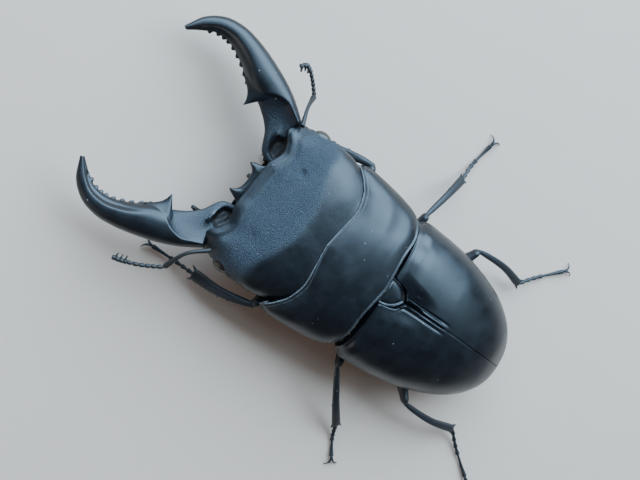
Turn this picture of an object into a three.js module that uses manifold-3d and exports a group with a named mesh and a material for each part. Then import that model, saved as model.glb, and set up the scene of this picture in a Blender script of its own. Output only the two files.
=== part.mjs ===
// A male giant flat stag beetle at life size, standing with its mandibles spread wide.
// Millimetres, +Z up. The beetle faces -Y and its left side is +X. The floor is z = 0, and the
// origin is on the floor, under the middle of the beetle's box.
import * as THREE from "three";
import { mergeVertices } from "three/addons/utils/BufferGeometryUtils.js";
import Module from "manifold-3d";

const wasm = await Module();
wasm.setup();

// ---------------------------------------------------------------- driving dimensions

const SEAM = 0.12; // gap between two plates that meet
const ORIGIN_SHIFT = { x: 1.19, y: 4.16 }; // from the scutellum's foot to the middle of the box

const STANCE = {
  backHeight: 16.5, // scutellum above the floor
  bodyPitch: 3.5, // the front of the body is carried higher
  thoraxYaw: -2.3, // towards the beetle's right
  thoraxBow: 4.4,
  headYaw: -2.8,
  headBow: 9,
};

const ELYTRA = { length: 31.6, halfWidth: 13.5, shoulder: 0.12, crown: 2.35, fold: 0.3 };
const SCUTELLUM = { halfWidth: 2.5, length: 4.3, thickness: 1.4, rise: 0.12 };
const UNDERBODY = { inset: 0.7, top: 0.45, split: 12.6, squareness: 2.7 };
const THORAX = { length: 13.8, halfWidth: 14.65, seam: -5.6, squareness: 2.3 };
const HEAD = { length: 16, halfWidth: 14.05, squareness: 2.6 };
const LABRUM = { y: 14.8, z: -5, thickness: 1.6 };
const EYE = { radius: 1.45, x: 12.9, y: -10.6, z: -4.3 };

// ---------------------------------------------------------------- small tools

const rad = THREE.MathUtils.degToRad;
const lerp = THREE.MathUtils.lerp;
const vec = (x, y, z) => new THREE.Vector3(x, y, z);
const signedPower = (value, power) => Math.sign(value) * Math.abs(value) ** power;
const SIDES = { left: 1, right: -1 };

/** A smooth function through [place, value] pairs that never overshoots them. */
function through(...knots) {
  const rise = knots
    .slice(1)
    .map(([place, value], i) => (value - knots[i][1]) / (place - knots[i][0]));
  const slope = knots.map((_, i) => {
    const before = rise[Math.max(i - 1, 0)];
    const after = rise[Math.min(i, rise.length - 1)];
    return before * after > 0 ? (2 * before * after) / (before + after) : 0;
  });
  return (place) => {
    const last = knots.length - 1;
    if (place <= knots[0][0]) return knots[0][1];
    if (place >= knots[last][0]) return knots[last][1];
    const i = knots.findIndex((knot) => knot[0] > place) - 1;
    const span = knots[i + 1][0] - knots[i][0];
    const s = (place - knots[i][0]) / span;
    return (
      knots[i][1] * (1 + 2 * s) * (1 - s) ** 2 +
      slope[i] * span * s * (1 - s) ** 2 +
      knots[i + 1][1] * s * s * (3 - 2 * s) +
      slope[i + 1] * span * s * s * (s - 1)
    );
  };
}

/** Shares one vertex between neighbouring faces, and turns the faces outwards. */
function closed(geometry) {
  geometry.deleteAttribute("normal");
  geometry.deleteAttribute("uv");
  const merged = mergeVertices(geometry, 1e-4);
  const points = merged.attributes.position;
  const index = merged.index.array;
  const corner = (i) => vec().fromBufferAttribute(points, index[i]);
  let volume = 0;
  for (let i = 0; i < index.length; i += 3)
    volume += corner(i).dot(corner(i + 1).cross(corner(i + 2)));
  if (volume < 0)
    for (let i = 0; i < index.length; i += 3)
      [index[i + 1], index[i + 2]] = [index[i + 2], index[i + 1]];
  return merged;
}

/** A closed skin whose rings at(t, angle) run from t = 0 to t = 1, with a cap at each end. */
function sweep(sides, steps, at) {
  const shape = new THREE.CylinderGeometry(1, 1, 1, sides, steps);
  const place = shape.attributes.position;
  const middle = (t) => {
    const sum = vec(0, 0, 0);
    for (let k = 0; k < sides; k++) sum.add(at(t, (2 * Math.PI * k) / sides));
    return sum.divideScalar(sides);
  };
  for (let i = 0; i < place.count; i++) {
    const t = 0.5 - place.getY(i);
    const onAxis = Math.hypot(place.getX(i), place.getZ(i)) < 0.5;
    const p = onAxis ? middle(t) : at(t, Math.atan2(place.getX(i), place.getZ(i)));
    place.setXYZ(i, p.x, p.y, p.z);
  }
  return closed(shape);
}

/** x and z of a rounded cross-section: angle 0 is its left edge and 90 degrees its top. */
function section(angle, halfWidth, up, down, squareness) {
  const x = halfWidth * signedPower(Math.cos(angle), 2 / squareness);
  const s = signedPower(Math.sin(angle), 2 / squareness);
  return [x, s > 0 ? up * s : down * s];
}

/** A tube round a path, with radii wide(t) across and deep(t) along the direction flat. */
function tube(path, sides, steps, wide, deep, flat) {
  return sweep(sides, steps, (t, angle) => {
    const centre = path.getPointAt(t);
    const along = path.getTangentAt(t);
    const across = vec().crossVectors(flat, along).normalize();
    const up = vec().crossVectors(along, across);
    return centre
      .addScaledVector(across, wide(t) * Math.cos(angle))
      .addScaledVector(up, deep(t) * Math.sin(angle));
  });
}

/** A pointed spine from foot to tip. */
const spine = (foot, tip, radius, sides = 6) =>
  tube(
    new THREE.LineCurve3(foot, tip),
    sides,
    1,
    (t) => radius * (1.04 - t),
    (t) => radius * (1.04 - t),
    vec(0.31, 0.27, 0.91),
  );

const solid = (geometry) =>
  new wasm.Manifold(
    new wasm.Mesh({
      numProp: 3,
      vertProperties: Float32Array.from(geometry.attributes.position.array),
      triVerts: Uint32Array.from(geometry.index.array),
    }),
  );

function surface(made) {
  const mesh = made.getMesh();
  return new THREE.BufferGeometry()
    .setAttribute("position", new THREE.BufferAttribute(mesh.vertProperties, 3))
    .setIndex(new THREE.BufferAttribute(mesh.triVerts, 1));
}

const block = (low, high) =>
  closed(
    new THREE.BoxGeometry(...high.clone().sub(low).toArray()).translate(
      ...low.clone().add(high).multiplyScalar(0.5).toArray(),
    ),
  );

const ball = (centre, radii, turn = 0, segments = 12) =>
  closed(
    new THREE.SphereGeometry(1, segments, Math.ceil(segments / 2))
      .scale(radii.x, radii.y, radii.z)
      .rotateZ(turn)
      .translate(centre.x, centre.y, centre.z),
  );

const join = (...geometries) => surface(geometries.map(solid).reduce((a, b) => a.add(b)));
const cut = (geometry, ...tools) =>
  surface(tools.map(solid).reduce((a, b) => a.subtract(b), solid(geometry)));

/** A geometry grown by one seam along its normals, to cut its neighbour with. */
function grown(geometry, margin = SEAM) {
  const swollen = geometry.clone();
  swollen.computeVertexNormals();
  const place = swollen.attributes.position;
  const normal = swollen.attributes.normal;
  for (let i = 0; i < place.count; i++)
    place.setXYZ(
      i,
      place.getX(i) + margin * normal.getX(i),
      place.getY(i) + margin * normal.getY(i),
      place.getZ(i) + margin * normal.getZ(i),
    );
  swollen.deleteAttribute("normal");
  return swollen;
}

/** What is left of a geometry, without the crumbs that a cut leaves. */
const largest = (geometry) =>
  surface(
    solid(geometry)
      .decompose()
      .sort((a, b) => b.volume() - a.volume())[0],
  );

// ---------------------------------------------------------------- materials

const shell = (color, roughness) =>
  new THREE.MeshStandardMaterial({ color, roughness, metalness: 0 });
const SHELL = {
  plate: shell(0x14161a, 0.45),
  wing: shell(0x101216, 0.3),
  jaw: shell(0x15181d, 0.38),
  limb: shell(0x121316, 0.42),
  under: shell(0x17130f, 0.4),
  eye: shell(0x1c1a16, 0.15),
  feeler: shell(0x17120e, 0.5),
};

// ---------------------------------------------------------------- frames of the pose

const beetle = new THREE.Group();
const body = new THREE.Group();
const thorax = new THREE.Group();
const head = new THREE.Group();
beetle.position.set(ORIGIN_SHIFT.x, ORIGIN_SHIFT.y, 0);
beetle.add(body);
body.position.set(0, 0, STANCE.backHeight);
body.rotation.x = rad(-STANCE.bodyPitch);
body.add(thorax);
thorax.position.set(-0.15, -0.3, 0.27);
thorax.rotation.set(rad(STANCE.thoraxBow), 0, rad(STANCE.thoraxYaw), "ZXY");
thorax.add(head);
head.position.set(-0.22, -12.55, -1.2);
head.rotation.set(rad(STANCE.headBow), 0, rad(STANCE.headYaw), "ZXY");
beetle.updateMatrixWorld(true);

function place(frame, name, geometry, material) {
  const mesh = new THREE.Mesh(geometry, material);
  mesh.name = name;
  frame.add(mesh);
  return mesh;
}

/** Geometry of one frame, told in another. */
const retold = (geometry, from, to) =>
  geometry
    .clone()
    .applyMatrix4(from.matrixWorld)
    .applyMatrix4(to.matrixWorld.clone().invert());

// ---------------------------------------------------------------- wing cases and scutellum

const elytraTop = through([0, 0], [5, 0.6], [12, 0.7], [20, -0.7], [26, -3], [30, -5.9], [31.6, -8]);
const elytraEdge = through([0, -5.2], [8, -6], [20, -7.3], [31.6, -8.7]);

function elytraHalfWidth(y) {
  const shoulder = 1 - ELYTRA.shoulder * Math.max(0, 1 - y / 3) ** 2;
  return ELYTRA.halfWidth * shoulder * Math.sqrt(1 - (y / ELYTRA.length) ** 2.7);
}

const elytraDome = sweep(22, 9, (t, angle) => {
  const y = ELYTRA.length * Math.sin((t * 0.965 * Math.PI) / 2);
  const edge = elytraEdge(y);
  const [x, z] = section(
    angle,
    elytraHalfWidth(y),
    elytraTop(y) - edge,
    ELYTRA.fold,
    ELYTRA.crown,
  );
  return vec(x, y, edge + z);
});

/** The scutellum's plate, grown by a margin all round. */
function scutellumPlate(margin) {
  const w = SCUTELLUM.halfWidth + margin;
  const l = SCUTELLUM.length + margin;
  const outline = new THREE.Shape()
    .moveTo(-w, -margin)
    .lineTo(w, -margin)
    .quadraticCurveTo(w * 0.95, l * 0.75, 0, l)
    .quadraticCurveTo(-w * 0.95, l * 0.75, -w, -margin);
  return closed(
    new THREE.ExtrudeGeometry(outline, {
      depth: SCUTELLUM.thickness + 2 * margin,
      bevelEnabled: false,
      curveSegments: 5,
    }).translate(0, 0, SCUTELLUM.rise - SCUTELLUM.thickness - margin),
  );
}

// ---------------------------------------------------------------- underside of the hind body

const bellyDepth = through([-1.5, 4.4], [2, 5.8], [9, 6], [16, 5.2], [24, 3.9], [29, 2.3], [31, 1]);

/** The belly from front to rear. With rings, each plate's hind edge stands over the next. */
function belly(front, rear, steps, rings = 0) {
  return sweep(14, steps, (t, angle) => {
    const y = lerp(front, rear, t);
    const step = rings ? 0.22 * ((t * rings) % 1) : 0;
    const w = Math.max(elytraHalfWidth(Math.max(y, 0)) - UNDERBODY.inset, 0.5);
    const [x, z] = section(angle, w, 0, bellyDepth(y) + step, UNDERBODY.squareness);
    return vec(x, y, elytraEdge(y) - UNDERBODY.top + z);
  });
}

const metasternum = belly(-0.9, UNDERBODY.split, 4);
const abdomen = belly(UNDERBODY.split + SEAM, 30.6, 10, 5);

// ---------------------------------------------------------------- prothorax

const thoraxHalfWidth = through(
  [0, 0.86],
  [0.8, 0.9],
  [2.3, 0.935],
  [6, 0.975],
  [11.4, 1],
  [13, 0.985],
  [13.8, 0.95],
);
const thoraxTop = through([0, -0.1], [3, 0.5], [7, 0.6], [11, -0.2], [14, -1.4]);
/** Front and rear edges in plan: the front corners reach forwards, the rear edge is waved. */
const thoraxFront = through([0, 12.3], [0.25, 11.8], [0.5, 11.3], [0.7, 11.9], [0.83, 13], [0.95, 14.4]);
const thoraxRear = through([0, -0.3], [0.42, 0.25], [0.65, 0], [0.85, 0.5], [1, 0.5]);

/** Half of the prothorax's block: the plate above its side edge, or the chest under it. */
function thoraxHalf(above) {
  return sweep(24, 6, (t, angle) => {
    const forward = lerp(0, THORAX.length, t);
    const w = THORAX.halfWidth * thoraxHalfWidth(forward);
    const up = thoraxTop(forward) - THORAX.seam;
    const down = 5.2 + 0.9 * Math.sin(Math.PI * t);
    const [x, z] = section(
      angle,
      w - (above ? 0 : 0.5),
      above ? up : 0,
      above ? 0.35 : down,
      THORAX.squareness,
    );
    const u = Math.min(Math.abs(x) / THORAX.halfWidth, 1);
    const y = -lerp(thoraxRear(u), thoraxFront(u), t);
    return vec(x, y, THORAX.seam - (above ? 0 : 0.35 + SEAM) + z);
  });
}

const pronotum = thoraxHalf(true);
const prosternum = thoraxHalf(false);
/** Both halves of the prothorax, told in another frame and grown by a seam. */
const prothorax = (frame) =>
  [pronotum, prosternum].map((half) => grown(retold(half, thorax, frame)));
place(thorax, "pronotum", pronotum, SHELL.plate);
place(thorax, "prosternum", prosternum, SHELL.under);

place(body, "scutellum", largest(cut(scutellumPlate(0), ...prothorax(body))), SHELL.plate);
for (const [name, side] of Object.entries(SIDES)) {
  const near = vec(side > 0 ? SEAM / 2 : -20, -5, -20);
  const far = vec(side > 0 ? 20 : -SEAM / 2, 40, 20);
  const half = surface(solid(elytraDome).intersect(solid(block(near, far))));
  const wingCase = cut(half, scutellumPlate(SEAM), ...prothorax(body));
  place(body, `elytron_${name}`, largest(wingCase), SHELL.wing);
}
place(body, "metasternum", largest(cut(metasternum, ...prothorax(body))), SHELL.under);
place(body, "abdomen", abdomen, SHELL.under);

// ---------------------------------------------------------------- head

const headHalfWidth = through([-1, 0.84], [2, 0.93], [5.5, 0.99], [9, 1], [13, 0.955], [16, 0.92]);
const headTop = through([-1, -0.4], [4, 0.5], [9, 0.5], [13, 0], [16.4, -1.2]);
const headEdge = through([-1, -4.2], [8, -4.2], [16, -4.4]);
const headDepth = through([-1, 4.4], [6, 5.2], [13, 4.8], [16.4, 3.2]);
/** The forehead's front edge: a lobe over each mandible's hinge, and a shallow bay inside it. */
const headFront = through(
  [0, 15.3],
  [0.3, 15.2],
  [0.5, 14.3],
  [0.62, 14.8],
  [0.75, 15.9],
  [0.87, 15.5],
  [1, 14],
);

const headBlock = sweep(22, 6, (t, angle) => {
  const forward = lerp(-1.9, HEAD.length, t);
  const edge = headEdge(forward);
  const w = HEAD.halfWidth * headHalfWidth(forward);
  const [x, z] = section(
    angle,
    w,
    headTop(forward) - edge,
    headDepth(forward),
    HEAD.squareness,
  );
  const u = Math.min(Math.abs(x) / HEAD.halfWidth, 1);
  return vec(x, -forward * (forward > 0 ? headFront(u) / HEAD.length : 1), edge + z);
});

// ---------------------------------------------------------------- mandibles

/** Outer and inner edges of the left mandible in plan, from its hinge to its tip. */
const JAW_OUTER = [
  [12.4, 14.2], [14.3, 16.8], [15.7, 19.1], [17.1, 22.2], [18.2, 25.4],
  [19, 28.6], [19.3, 31.6], [18.65, 34.8], [16.6, 37.5], [13.3, 39.25],
];
const JAW_INNER = [
  [4.2, 14], [5, 17], [8.4, 19.1], [10.9, 22.3], [12.2, 25.4],
  [14.3, 28.6], [15.7, 31.8], [15.7, 34.4], [14.6, 36.4], [12.95, 38.6],
];
const jawCurve = (edge) =>
  new THREE.CatmullRomCurve3(
    edge.map(([out, forward]) => vec(out, -forward, 0)),
    false,
    "centripetal",
  );
const jawOuter = jawCurve(JAW_OUTER);
const jawInner = jawCurve(JAW_INNER);
const jawLift = through([0, -3.5], [0.3, -2.9], [0.7, -2.5], [1, -1.8]);
const jawUp = through([0, 1.9], [0.2, 2.3], [0.4, 2.6], [0.62, 2], [0.85, 1.2], [1, 0.55]);
const jawDown = through([0, 2.2], [0.36, 2.3], [0.7, 1.6], [1, 0.55]);
const jawRidge = through([0, 0.88], [0.18, 0.78], [0.3, 0.58], [0.42, 0.5], [1, 0.5]);
/** The sharp crest that runs from the jaw's outer corner across its back to the big tooth. */
const jawCrest = through(
  [0, 0.92],
  [0.12, 0.86],
  [0.2, 0.79],
  [0.26, 0.65],
  [0.31, 0.46],
  [0.38, 0],
  [0.42, -0.5],
);
const JAW = {
  hinge: [8.3, 14],
  turn: { left: 0.6, right: 1.3 }, // degrees towards the beetle's left
  steps: 12,
  roundness: 2.3,
  drop: 0.5, // how much lower the jaw's base is, inside its crest
  flange: 0.35, // how much lower its inner edge is, beyond the big tooth
};
const TOOTH = { foot: [12.9, 23.3], tip: [9.1, 24.3], lift: -2.1, rise: 0.5, radius: 2.1 };
const LAST_TOOTH = { at: 0.84, reach: 0.45, radius: 0.6 };
const DENTICLES = { count: 8, from: 0.46, to: 0.77, radius: 0.5, reach: 0.42 };
const TOOTH_ROOT = 0.5; // how deep the small teeth stand in the edge

const smooth = THREE.MathUtils.smoothstep;

/** How high the jaw's back stands over its edges, at t along it and u across it from inside. */
function jawBack(t, u) {
  const ridge = jawRidge(t);
  const s = u < ridge ? (ridge - u) / ridge : (u - ridge) / (1 - ridge);
  const dome = jawUp(t) * Math.max(1 - s ** JAW.roundness, 0) ** (1 / JAW.roundness);
  const flange = (1 - smooth(u, 0.2, 0.34)) * smooth(t, 0.4, 0.5);
  const base = smooth(jawCrest(t) - u, 0, 0.16);
  return dome * (1 - JAW.flange * flange) * (1 - JAW.drop * base);
}

const jawBelly = (t, u) =>
  -jawDown(t) * Math.max(1 - Math.abs(2 * u - 1) ** JAW.roundness, 0) ** (1 / JAW.roundness);

/** A small tooth on the jaw's inner edge at t. */
function edgeTooth(side, t, reach, radius) {
  const inward = jawInner.getPoint(t).sub(jawOuter.getPoint(t)).normalize();
  const start = jawInner.getPoint(t).addScaledVector(inward, -TOOTH_ROOT);
  const end = jawInner.getPoint(t).addScaledVector(inward, reach);
  const height = jawLift(t) + 0.1;
  return spine(vec(side * start.x, start.y, height), vec(side * end.x, end.y, height), radius, 3);
}

function jawGeometry(name, side) {
  const blade = sweep(12, JAW.steps, (t, angle) => {
    const u = 0.5 - 0.5 * Math.cos(angle);
    const z = Math.sin(angle) > 0 ? jawBack(t, u) : jawBelly(t, u);
    const p = jawInner.getPoint(t).lerp(jawOuter.getPoint(t), u);
    return vec(side * p.x, p.y, jawLift(t) + z);
  });
  const foot = vec(side * TOOTH.foot[0], -TOOTH.foot[1], TOOTH.lift);
  const tip = vec(side * TOOTH.tip[0], -TOOTH.tip[1], TOOTH.lift + TOOTH.rise);
  const teeth = [
    spine(foot, tip, TOOTH.radius, 7),
    edgeTooth(side, LAST_TOOTH.at, LAST_TOOTH.reach, LAST_TOOTH.radius),
  ];
  for (let i = 0; i < DENTICLES.count; i++) {
    const t = lerp(DENTICLES.from, DENTICLES.to, i / (DENTICLES.count - 1));
    teeth.push(edgeTooth(side, t, DENTICLES.reach, DENTICLES.radius));
  }
  const [hingeX, hingeY] = [side * JAW.hinge[0], -JAW.hinge[1]];
  return join(blade, ...teeth)
    .translate(-hingeX, -hingeY, 0)
    .rotateZ(rad(JAW.turn[name]))
    .translate(hingeX, hingeY, 0);
}

// ---------------------------------------------------------------- parts of the face

/** The labrum: a plate under the forehead's edge with two forward horns. */
function labrumGeometry() {
  const outline = new THREE.Shape()
    .moveTo(-3.9, 0)
    .lineTo(3.9, 0)
    .quadraticCurveTo(3.5, 1.2, 2.65, 2.7)
    .quadraticCurveTo(1.6, 1.4, 0, 1.3)
    .quadraticCurveTo(-1.6, 1.4, -2.65, 2.7)
    .quadraticCurveTo(-3.5, 1.2, -3.9, 0);
  return closed(
    new THREE.ExtrudeGeometry(outline, { depth: LABRUM.thickness, bevelEnabled: false, curveSegments: 4 })
      .rotateZ(Math.PI)
      .translate(0, -LABRUM.y, LABRUM.z),
  );
}

const eyeBall = (side, margin = 0) =>
  ball(
    vec(side * EYE.x, EYE.y, EYE.z),
    vec(EYE.radius + margin, EYE.radius * 1.25 + margin, EYE.radius + margin),
    0,
    8,
  );

const jaws = Object.fromEntries(
  Object.entries(SIDES).map(([name, side]) => [name, jawGeometry(name, side)]),
);
const labrum = labrumGeometry();
const mentum = ball(vec(0, -12.9, -8.4), vec(4.4, 2.6, 1.1), 0, 8);

const capsule = largest(
  cut(
    headBlock,
    ...prothorax(head),
    ...Object.values(jaws).map((jaw) => grown(jaw)),
    ...Object.values(SIDES).map((side) => eyeBall(side, SEAM)),
    grown(labrum),
    grown(mentum),
  ),
);
place(head, "head", capsule, SHELL.plate);
place(head, "labrum", labrum, SHELL.jaw);
place(head, "mentum", mentum, SHELL.under);
for (const [name, side] of Object.entries(SIDES)) {
  place(head, `mandible_${name}`, jaws[name], SHELL.jaw);
  place(head, `eye_${name}`, eyeBall(side), SHELL.eye);
}

// ---------------------------------------------------------------- legs

/**
 * Joints of each leg, from the scutellum's foot on the floor: coxa, knee, ankle and claws.
 * The legs aren't posed alike, as the beetle stands with its weight a little to one side.
 */
const LEGS = {
  fore_left: [[3.9, -9.6, 4.7], [14, -15, 8.6], [15.6, -25, 2.4], [15.4, -33]],
  fore_right: [[-4.1, -9.2, 4.7], [-16, -11, 8.6], [-13.2, -22.4, 2.6], [-8.4, -24.2]],
  mid_left: [[4.6, 2.6, 4.3], [15.1, 3.9, 8.4], [24.6, 12.7, 2.4], [30, 16.2]],
  mid_right: [[-4.6, 2.6, 4.3], [-14.6, 2.2, 8.4], [-24.4, 6.8, 2.4], [-32.6, 8.6]],
  hind_left: [[4.6, 11.2, 3.2], [14.2, 18.9, 7.6], [13.9, 32.9, 2.2], [20.4, 41.8]],
  hind_right: [[-4.6, 11.2, 3.2], [-14.8, 14.6, 7.6], [-15, 27.8, 2.2], [-22, 35.2]],
};
const LEG_SIZES = {
  fore: { coxa: [2.9, 1.7, 1.7], femur: 1.65, tibia: 1.02, tibiaThin: 0.72 },
  mid: { coxa: [2.3, 1.7, 1.5], femur: 1.45, tibia: 0.78, tibiaThin: 0.62 },
  hind: { coxa: [3.6, 1.6, 1.3], femur: 1.5, tibia: 0.76, tibiaThin: 0.6 },
};
const SHIN = { arch: 0.55, spurReach: 0.75, spurLength: 0.8, spurRadius: 0.34, thorn: 0.34 };
const TARSUS = { radius: 0.46, waist: 0.27, joints: 5, sag: 0.5 };
const CLAW = { length: 1.75, radius: 0.34, rise: 0.9 };
const CLAW_HEIGHT = 0.62; // of the foot's last joint, where the claws grow
const UPRIGHT = vec(0, 0, 1);

/** Blunt ends for a limb: 0 at t = 0 and t = 1, and nearly 1 between. */
const blunt = (t, power = 8) => Math.max(1 - Math.abs(2 * t - 1) ** power, 0.06) ** (1 / 2.4);

const trochanter = (leg) => leg.coxa.clone().lerp(leg.knee, 0.16);

function femurGeometry(leg, sizes) {
  const radius = through([0, 0.62], [0.3, 1], [0.65, 0.98], [1, 0.6]);
  return tube(
    new THREE.LineCurve3(trochanter(leg), leg.knee),
    7,
    5,
    (t) => 0.72 * sizes.femur * radius(t) * blunt(t),
    (t) => sizes.femur * radius(t) * blunt(t),
    UPRIGHT,
  );
}

/** The shin's path bends a little, and starts just outside the femur's end. */
function tibiaPath(leg, side) {
  const start = leg.knee.clone().lerp(leg.ankle, 0.035).add(vec(side * 0.25, 0, 0.1));
  const middle = start.clone().lerp(leg.ankle, 0.5).add(vec(side * SHIN.arch, 0, SHIN.arch));
  return new THREE.CatmullRomCurve3([start, middle, leg.ankle]);
}

function tibiaGeometry(leg, sizes, kind, side) {
  const path = tibiaPath(leg, side);
  const radius = through([0, 0.5], [0.15, 0.62], [0.6, 0.86], [0.92, 1], [1, 0.8]);
  const shaft = tube(
    path,
    6,
    5,
    (t) => sizes.tibia * radius(t) * blunt(t, 20),
    (t) => sizes.tibiaThin * radius(t) * blunt(t, 20),
    UPRIGHT,
  );
  const outward = vec().crossVectors(UPRIGHT, leg.ankle.clone().sub(leg.knee)).normalize();
  if (outward.x * side < 0) outward.negate();
  const spines = { fore: [0.35, 0.5, 0.64, 0.78], mid: [0.58], hind: [] }[kind];
  const thorns = spines.map((t) => {
    const foot = path.getPointAt(t).addScaledVector(outward, 0.55 * sizes.tibia * radius(t));
    const tip = foot
      .clone()
      .addScaledVector(outward, 0.6 * sizes.tibia)
      .addScaledVector(path.getTangentAt(t), 0.5);
    return spine(foot, tip, SHIN.thorn, 4);
  });
  const end = path.getPointAt(0.96);
  const along = path.getTangentAt(1);
  for (const turn of [1, -1]) {
    const aside = outward.clone().multiplyScalar(turn * sizes.tibia);
    const foot = end.clone().addScaledVector(aside, 0.5);
    const tip = end.clone().addScaledVector(aside, 0.5 + SHIN.spurReach);
    tip.addScaledVector(along, 0.5 + SHIN.spurLength);
    thorns.push(spine(foot, tip, SHIN.spurRadius, 4));
  }
  return join(shaft, ...thorns);
}

/** The foot's path: down from the shin's end, then along the floor. */
function tarsusPath(leg) {
  const start = leg.ankle.clone().add(leg.claw.clone().sub(leg.ankle).setLength(0.6));
  const lying = leg.ankle.clone().lerp(leg.claw, 0.34).setZ(TARSUS.sag + 0.35);
  const far = leg.ankle.clone().lerp(leg.claw, 0.68).setZ(TARSUS.sag);
  return new THREE.CatmullRomCurve3([start, lying, far, leg.claw]);
}

/** Ends of the five foot joints, as shares of its length: four short ones and the long last. */
const footJoints = [0, 0.15, 0.29, 0.43, 0.57, 1];

function tarsusRadius(t) {
  const i = Math.min(footJoints.findIndex((end, k) => k && t <= end + 1e-9), TARSUS.joints);
  const s = (t - footJoints[i - 1]) / (footJoints[i] - footJoints[i - 1]);
  const bulge = i === TARSUS.joints ? s ** 1.5 : Math.sin(Math.PI * Math.min(s * 0.62, 1));
  return lerp(TARSUS.waist, TARSUS.radius, bulge);
}

function tarsusGeometry(leg) {
  return tube(tarsusPath(leg), 5, 10, tarsusRadius, tarsusRadius, UPRIGHT);
}

function clawGeometry(leg) {
  const heading = leg.claw.clone().sub(leg.ankle).setZ(0).normalize();
  const start = leg.claw.clone().addScaledVector(heading, 0.12);
  const aside = vec().crossVectors(UPRIGHT, heading);
  const hooks = [1, -1].map((turn) => {
    const hook = (ahead, out, z) =>
      start
        .clone()
        .addScaledVector(heading, ahead * CLAW.length)
        .addScaledVector(aside, turn * out * CLAW.length)
        .setZ(z);
    return tube(
      new THREE.QuadraticBezierCurve3(start, hook(0.8, 0.2, CLAW.rise), hook(0.72, 0.75, 0.02)),
      4,
      2,
      (t) => lerp(CLAW.radius, 0.17, t),
      (t) => lerp(CLAW.radius, 0.17, t),
      UPRIGHT,
    );
  });
  return join(...hooks);
}

const underfloor = block(vec(-60, -70, -5), vec(60, 70, 0));
const breast = [grown(retold(metasternum, body, beetle))];
const chest = { fore: prothorax(beetle), mid: breast, hind: breast };
const bellyPlate = grown(retold(abdomen, body, beetle));
const shelf = grown(retold(elytraDome, body, beetle));
const skull = grown(retold(capsule, head, beetle));

for (const [name, [coxaAt, kneeAt, ankleAt, clawAt]] of Object.entries(LEGS)) {
  const kind = name.split("_")[0];
  const side = Math.sign(kneeAt[0]);
  const sizes = LEG_SIZES[kind];
  const leg = {
    coxa: vec(...coxaAt),
    knee: vec(...kneeAt),
    ankle: vec(...ankleAt),
    claw: vec(...clawAt, CLAW_HEIGHT),
  };
  const turn = Math.atan2(leg.knee.y - leg.coxa.y, leg.knee.x - leg.coxa.x);
  const coxa = ball(leg.coxa, vec(...sizes.coxa), turn, 8);
  const femur = femurGeometry(leg, sizes);
  const tibia = tibiaGeometry(leg, sizes, kind, side);
  const tarsus = tarsusGeometry(leg);
  const claws = clawGeometry(leg);
  const parts = {
    coxa: largest(cut(coxa, ...chest[kind], bellyPlate)),
    femur: largest(cut(femur, ...chest[kind], bellyPlate, shelf, skull, grown(coxa))),
    tibia: largest(cut(tibia, grown(femur), skull)),
    tarsus: largest(cut(tarsus, grown(tibia), underfloor)),
    claws: largest(cut(claws, grown(tarsus), underfloor)),
  };
  for (const [piece, geometry] of Object.entries(parts))
    place(beetle, `leg_${name}_${piece}`, geometry, SHELL.limb);
}

// ---------------------------------------------------------------- feelers and palps

/** Bends of each feeler, from the scutellum's foot on the floor: base, elbow and beyond. */
const FEELERS = {
  left: {
    scape: [[10.4, -27.2, 11.6], [13.1, -30.2, 11], [16.85, -31.6, 9.6]],
    whip: [[16.85, -31.6, 9.6], [18.6, -34.9, 9.1], [19.3, -36.8, 8.8]],
    club: [[19.3, -36.8, 8.8], [19.7, -38.1, 8.6], [19.9, -39.3, 8.5]],
    lamellae: [-1, 0, 0],
  },
  right: {
    scape: [[-14.4, -26, 11.6], [-17.6, -26.3, 9.4], [-20.1, -25.7, 6.6]],
    whip: [[-20.1, -25.7, 6.6], [-22, -27.4, 6.6], [-23.2, -28.8, 6.7]],
    club: [[-23.2, -28.8, 6.7], [-23.5, -29.7, 6.7], [-22.6, -30.6, 6.8]],
    lamellae: [1, 0.4, 0],
  },
};
const FEELER = { scape: 0.4, knob: 0.52, whip: 0.3, bead: 0.38, club: 0.42, leaf: 1.05, beads: 6 };
const MAXILLARY = {
  left: [[3.4, -26.4, 5.4], [5.2, -29.4, 6.2], [6.2, -31.2, 7.2], [6.2, -32.9, 7.9]],
  right: [[-6.6, -26.2, 5.4], [-8.8, -27.1, 5], [-10.6, -28, 5.2], [-12.2, -28.7, 5.6]],
};
const LABIAL = {
  left: [[-0.6, -25.3, 4.4], [-0.4, -26.1, 3.9], [-0.5, -26.9, 3.4]],
  right: [[-3, -25.2, 4.4], [-3.2, -26, 3.9], [-3.3, -26.8, 3.4]],
};
const PALP = { radius: 0.4, waist: 0.27, joints: 3 };

const curve = (points) => new THREE.CatmullRomCurve3(points.map((p) => vec(...p)));
const beaded = (thin, thick, count) => (t) => lerp(thin, thick, Math.abs(Math.sin(Math.PI * t * count)));

function clubGeometry(feeler) {
  const path = curve(feeler.club);
  const leaves = [0.22, 0.5, 0.8].map((t) => {
    const foot = path.getPointAt(t);
    const way = vec(...feeler.lamellae).normalize();
    const flat = path.getTangentAt(t);
    return tube(
      new THREE.LineCurve3(foot, foot.clone().addScaledVector(way, FEELER.leaf)),
      4,
      1,
      () => 0.42,
      (s) => 0.27 * (1.05 - 0.4 * s),
      flat,
    );
  });
  const stem = tube(path, 4, 2, () => FEELER.club, () => FEELER.club, UPRIGHT);
  return join(stem, ...leaves);
}

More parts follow.
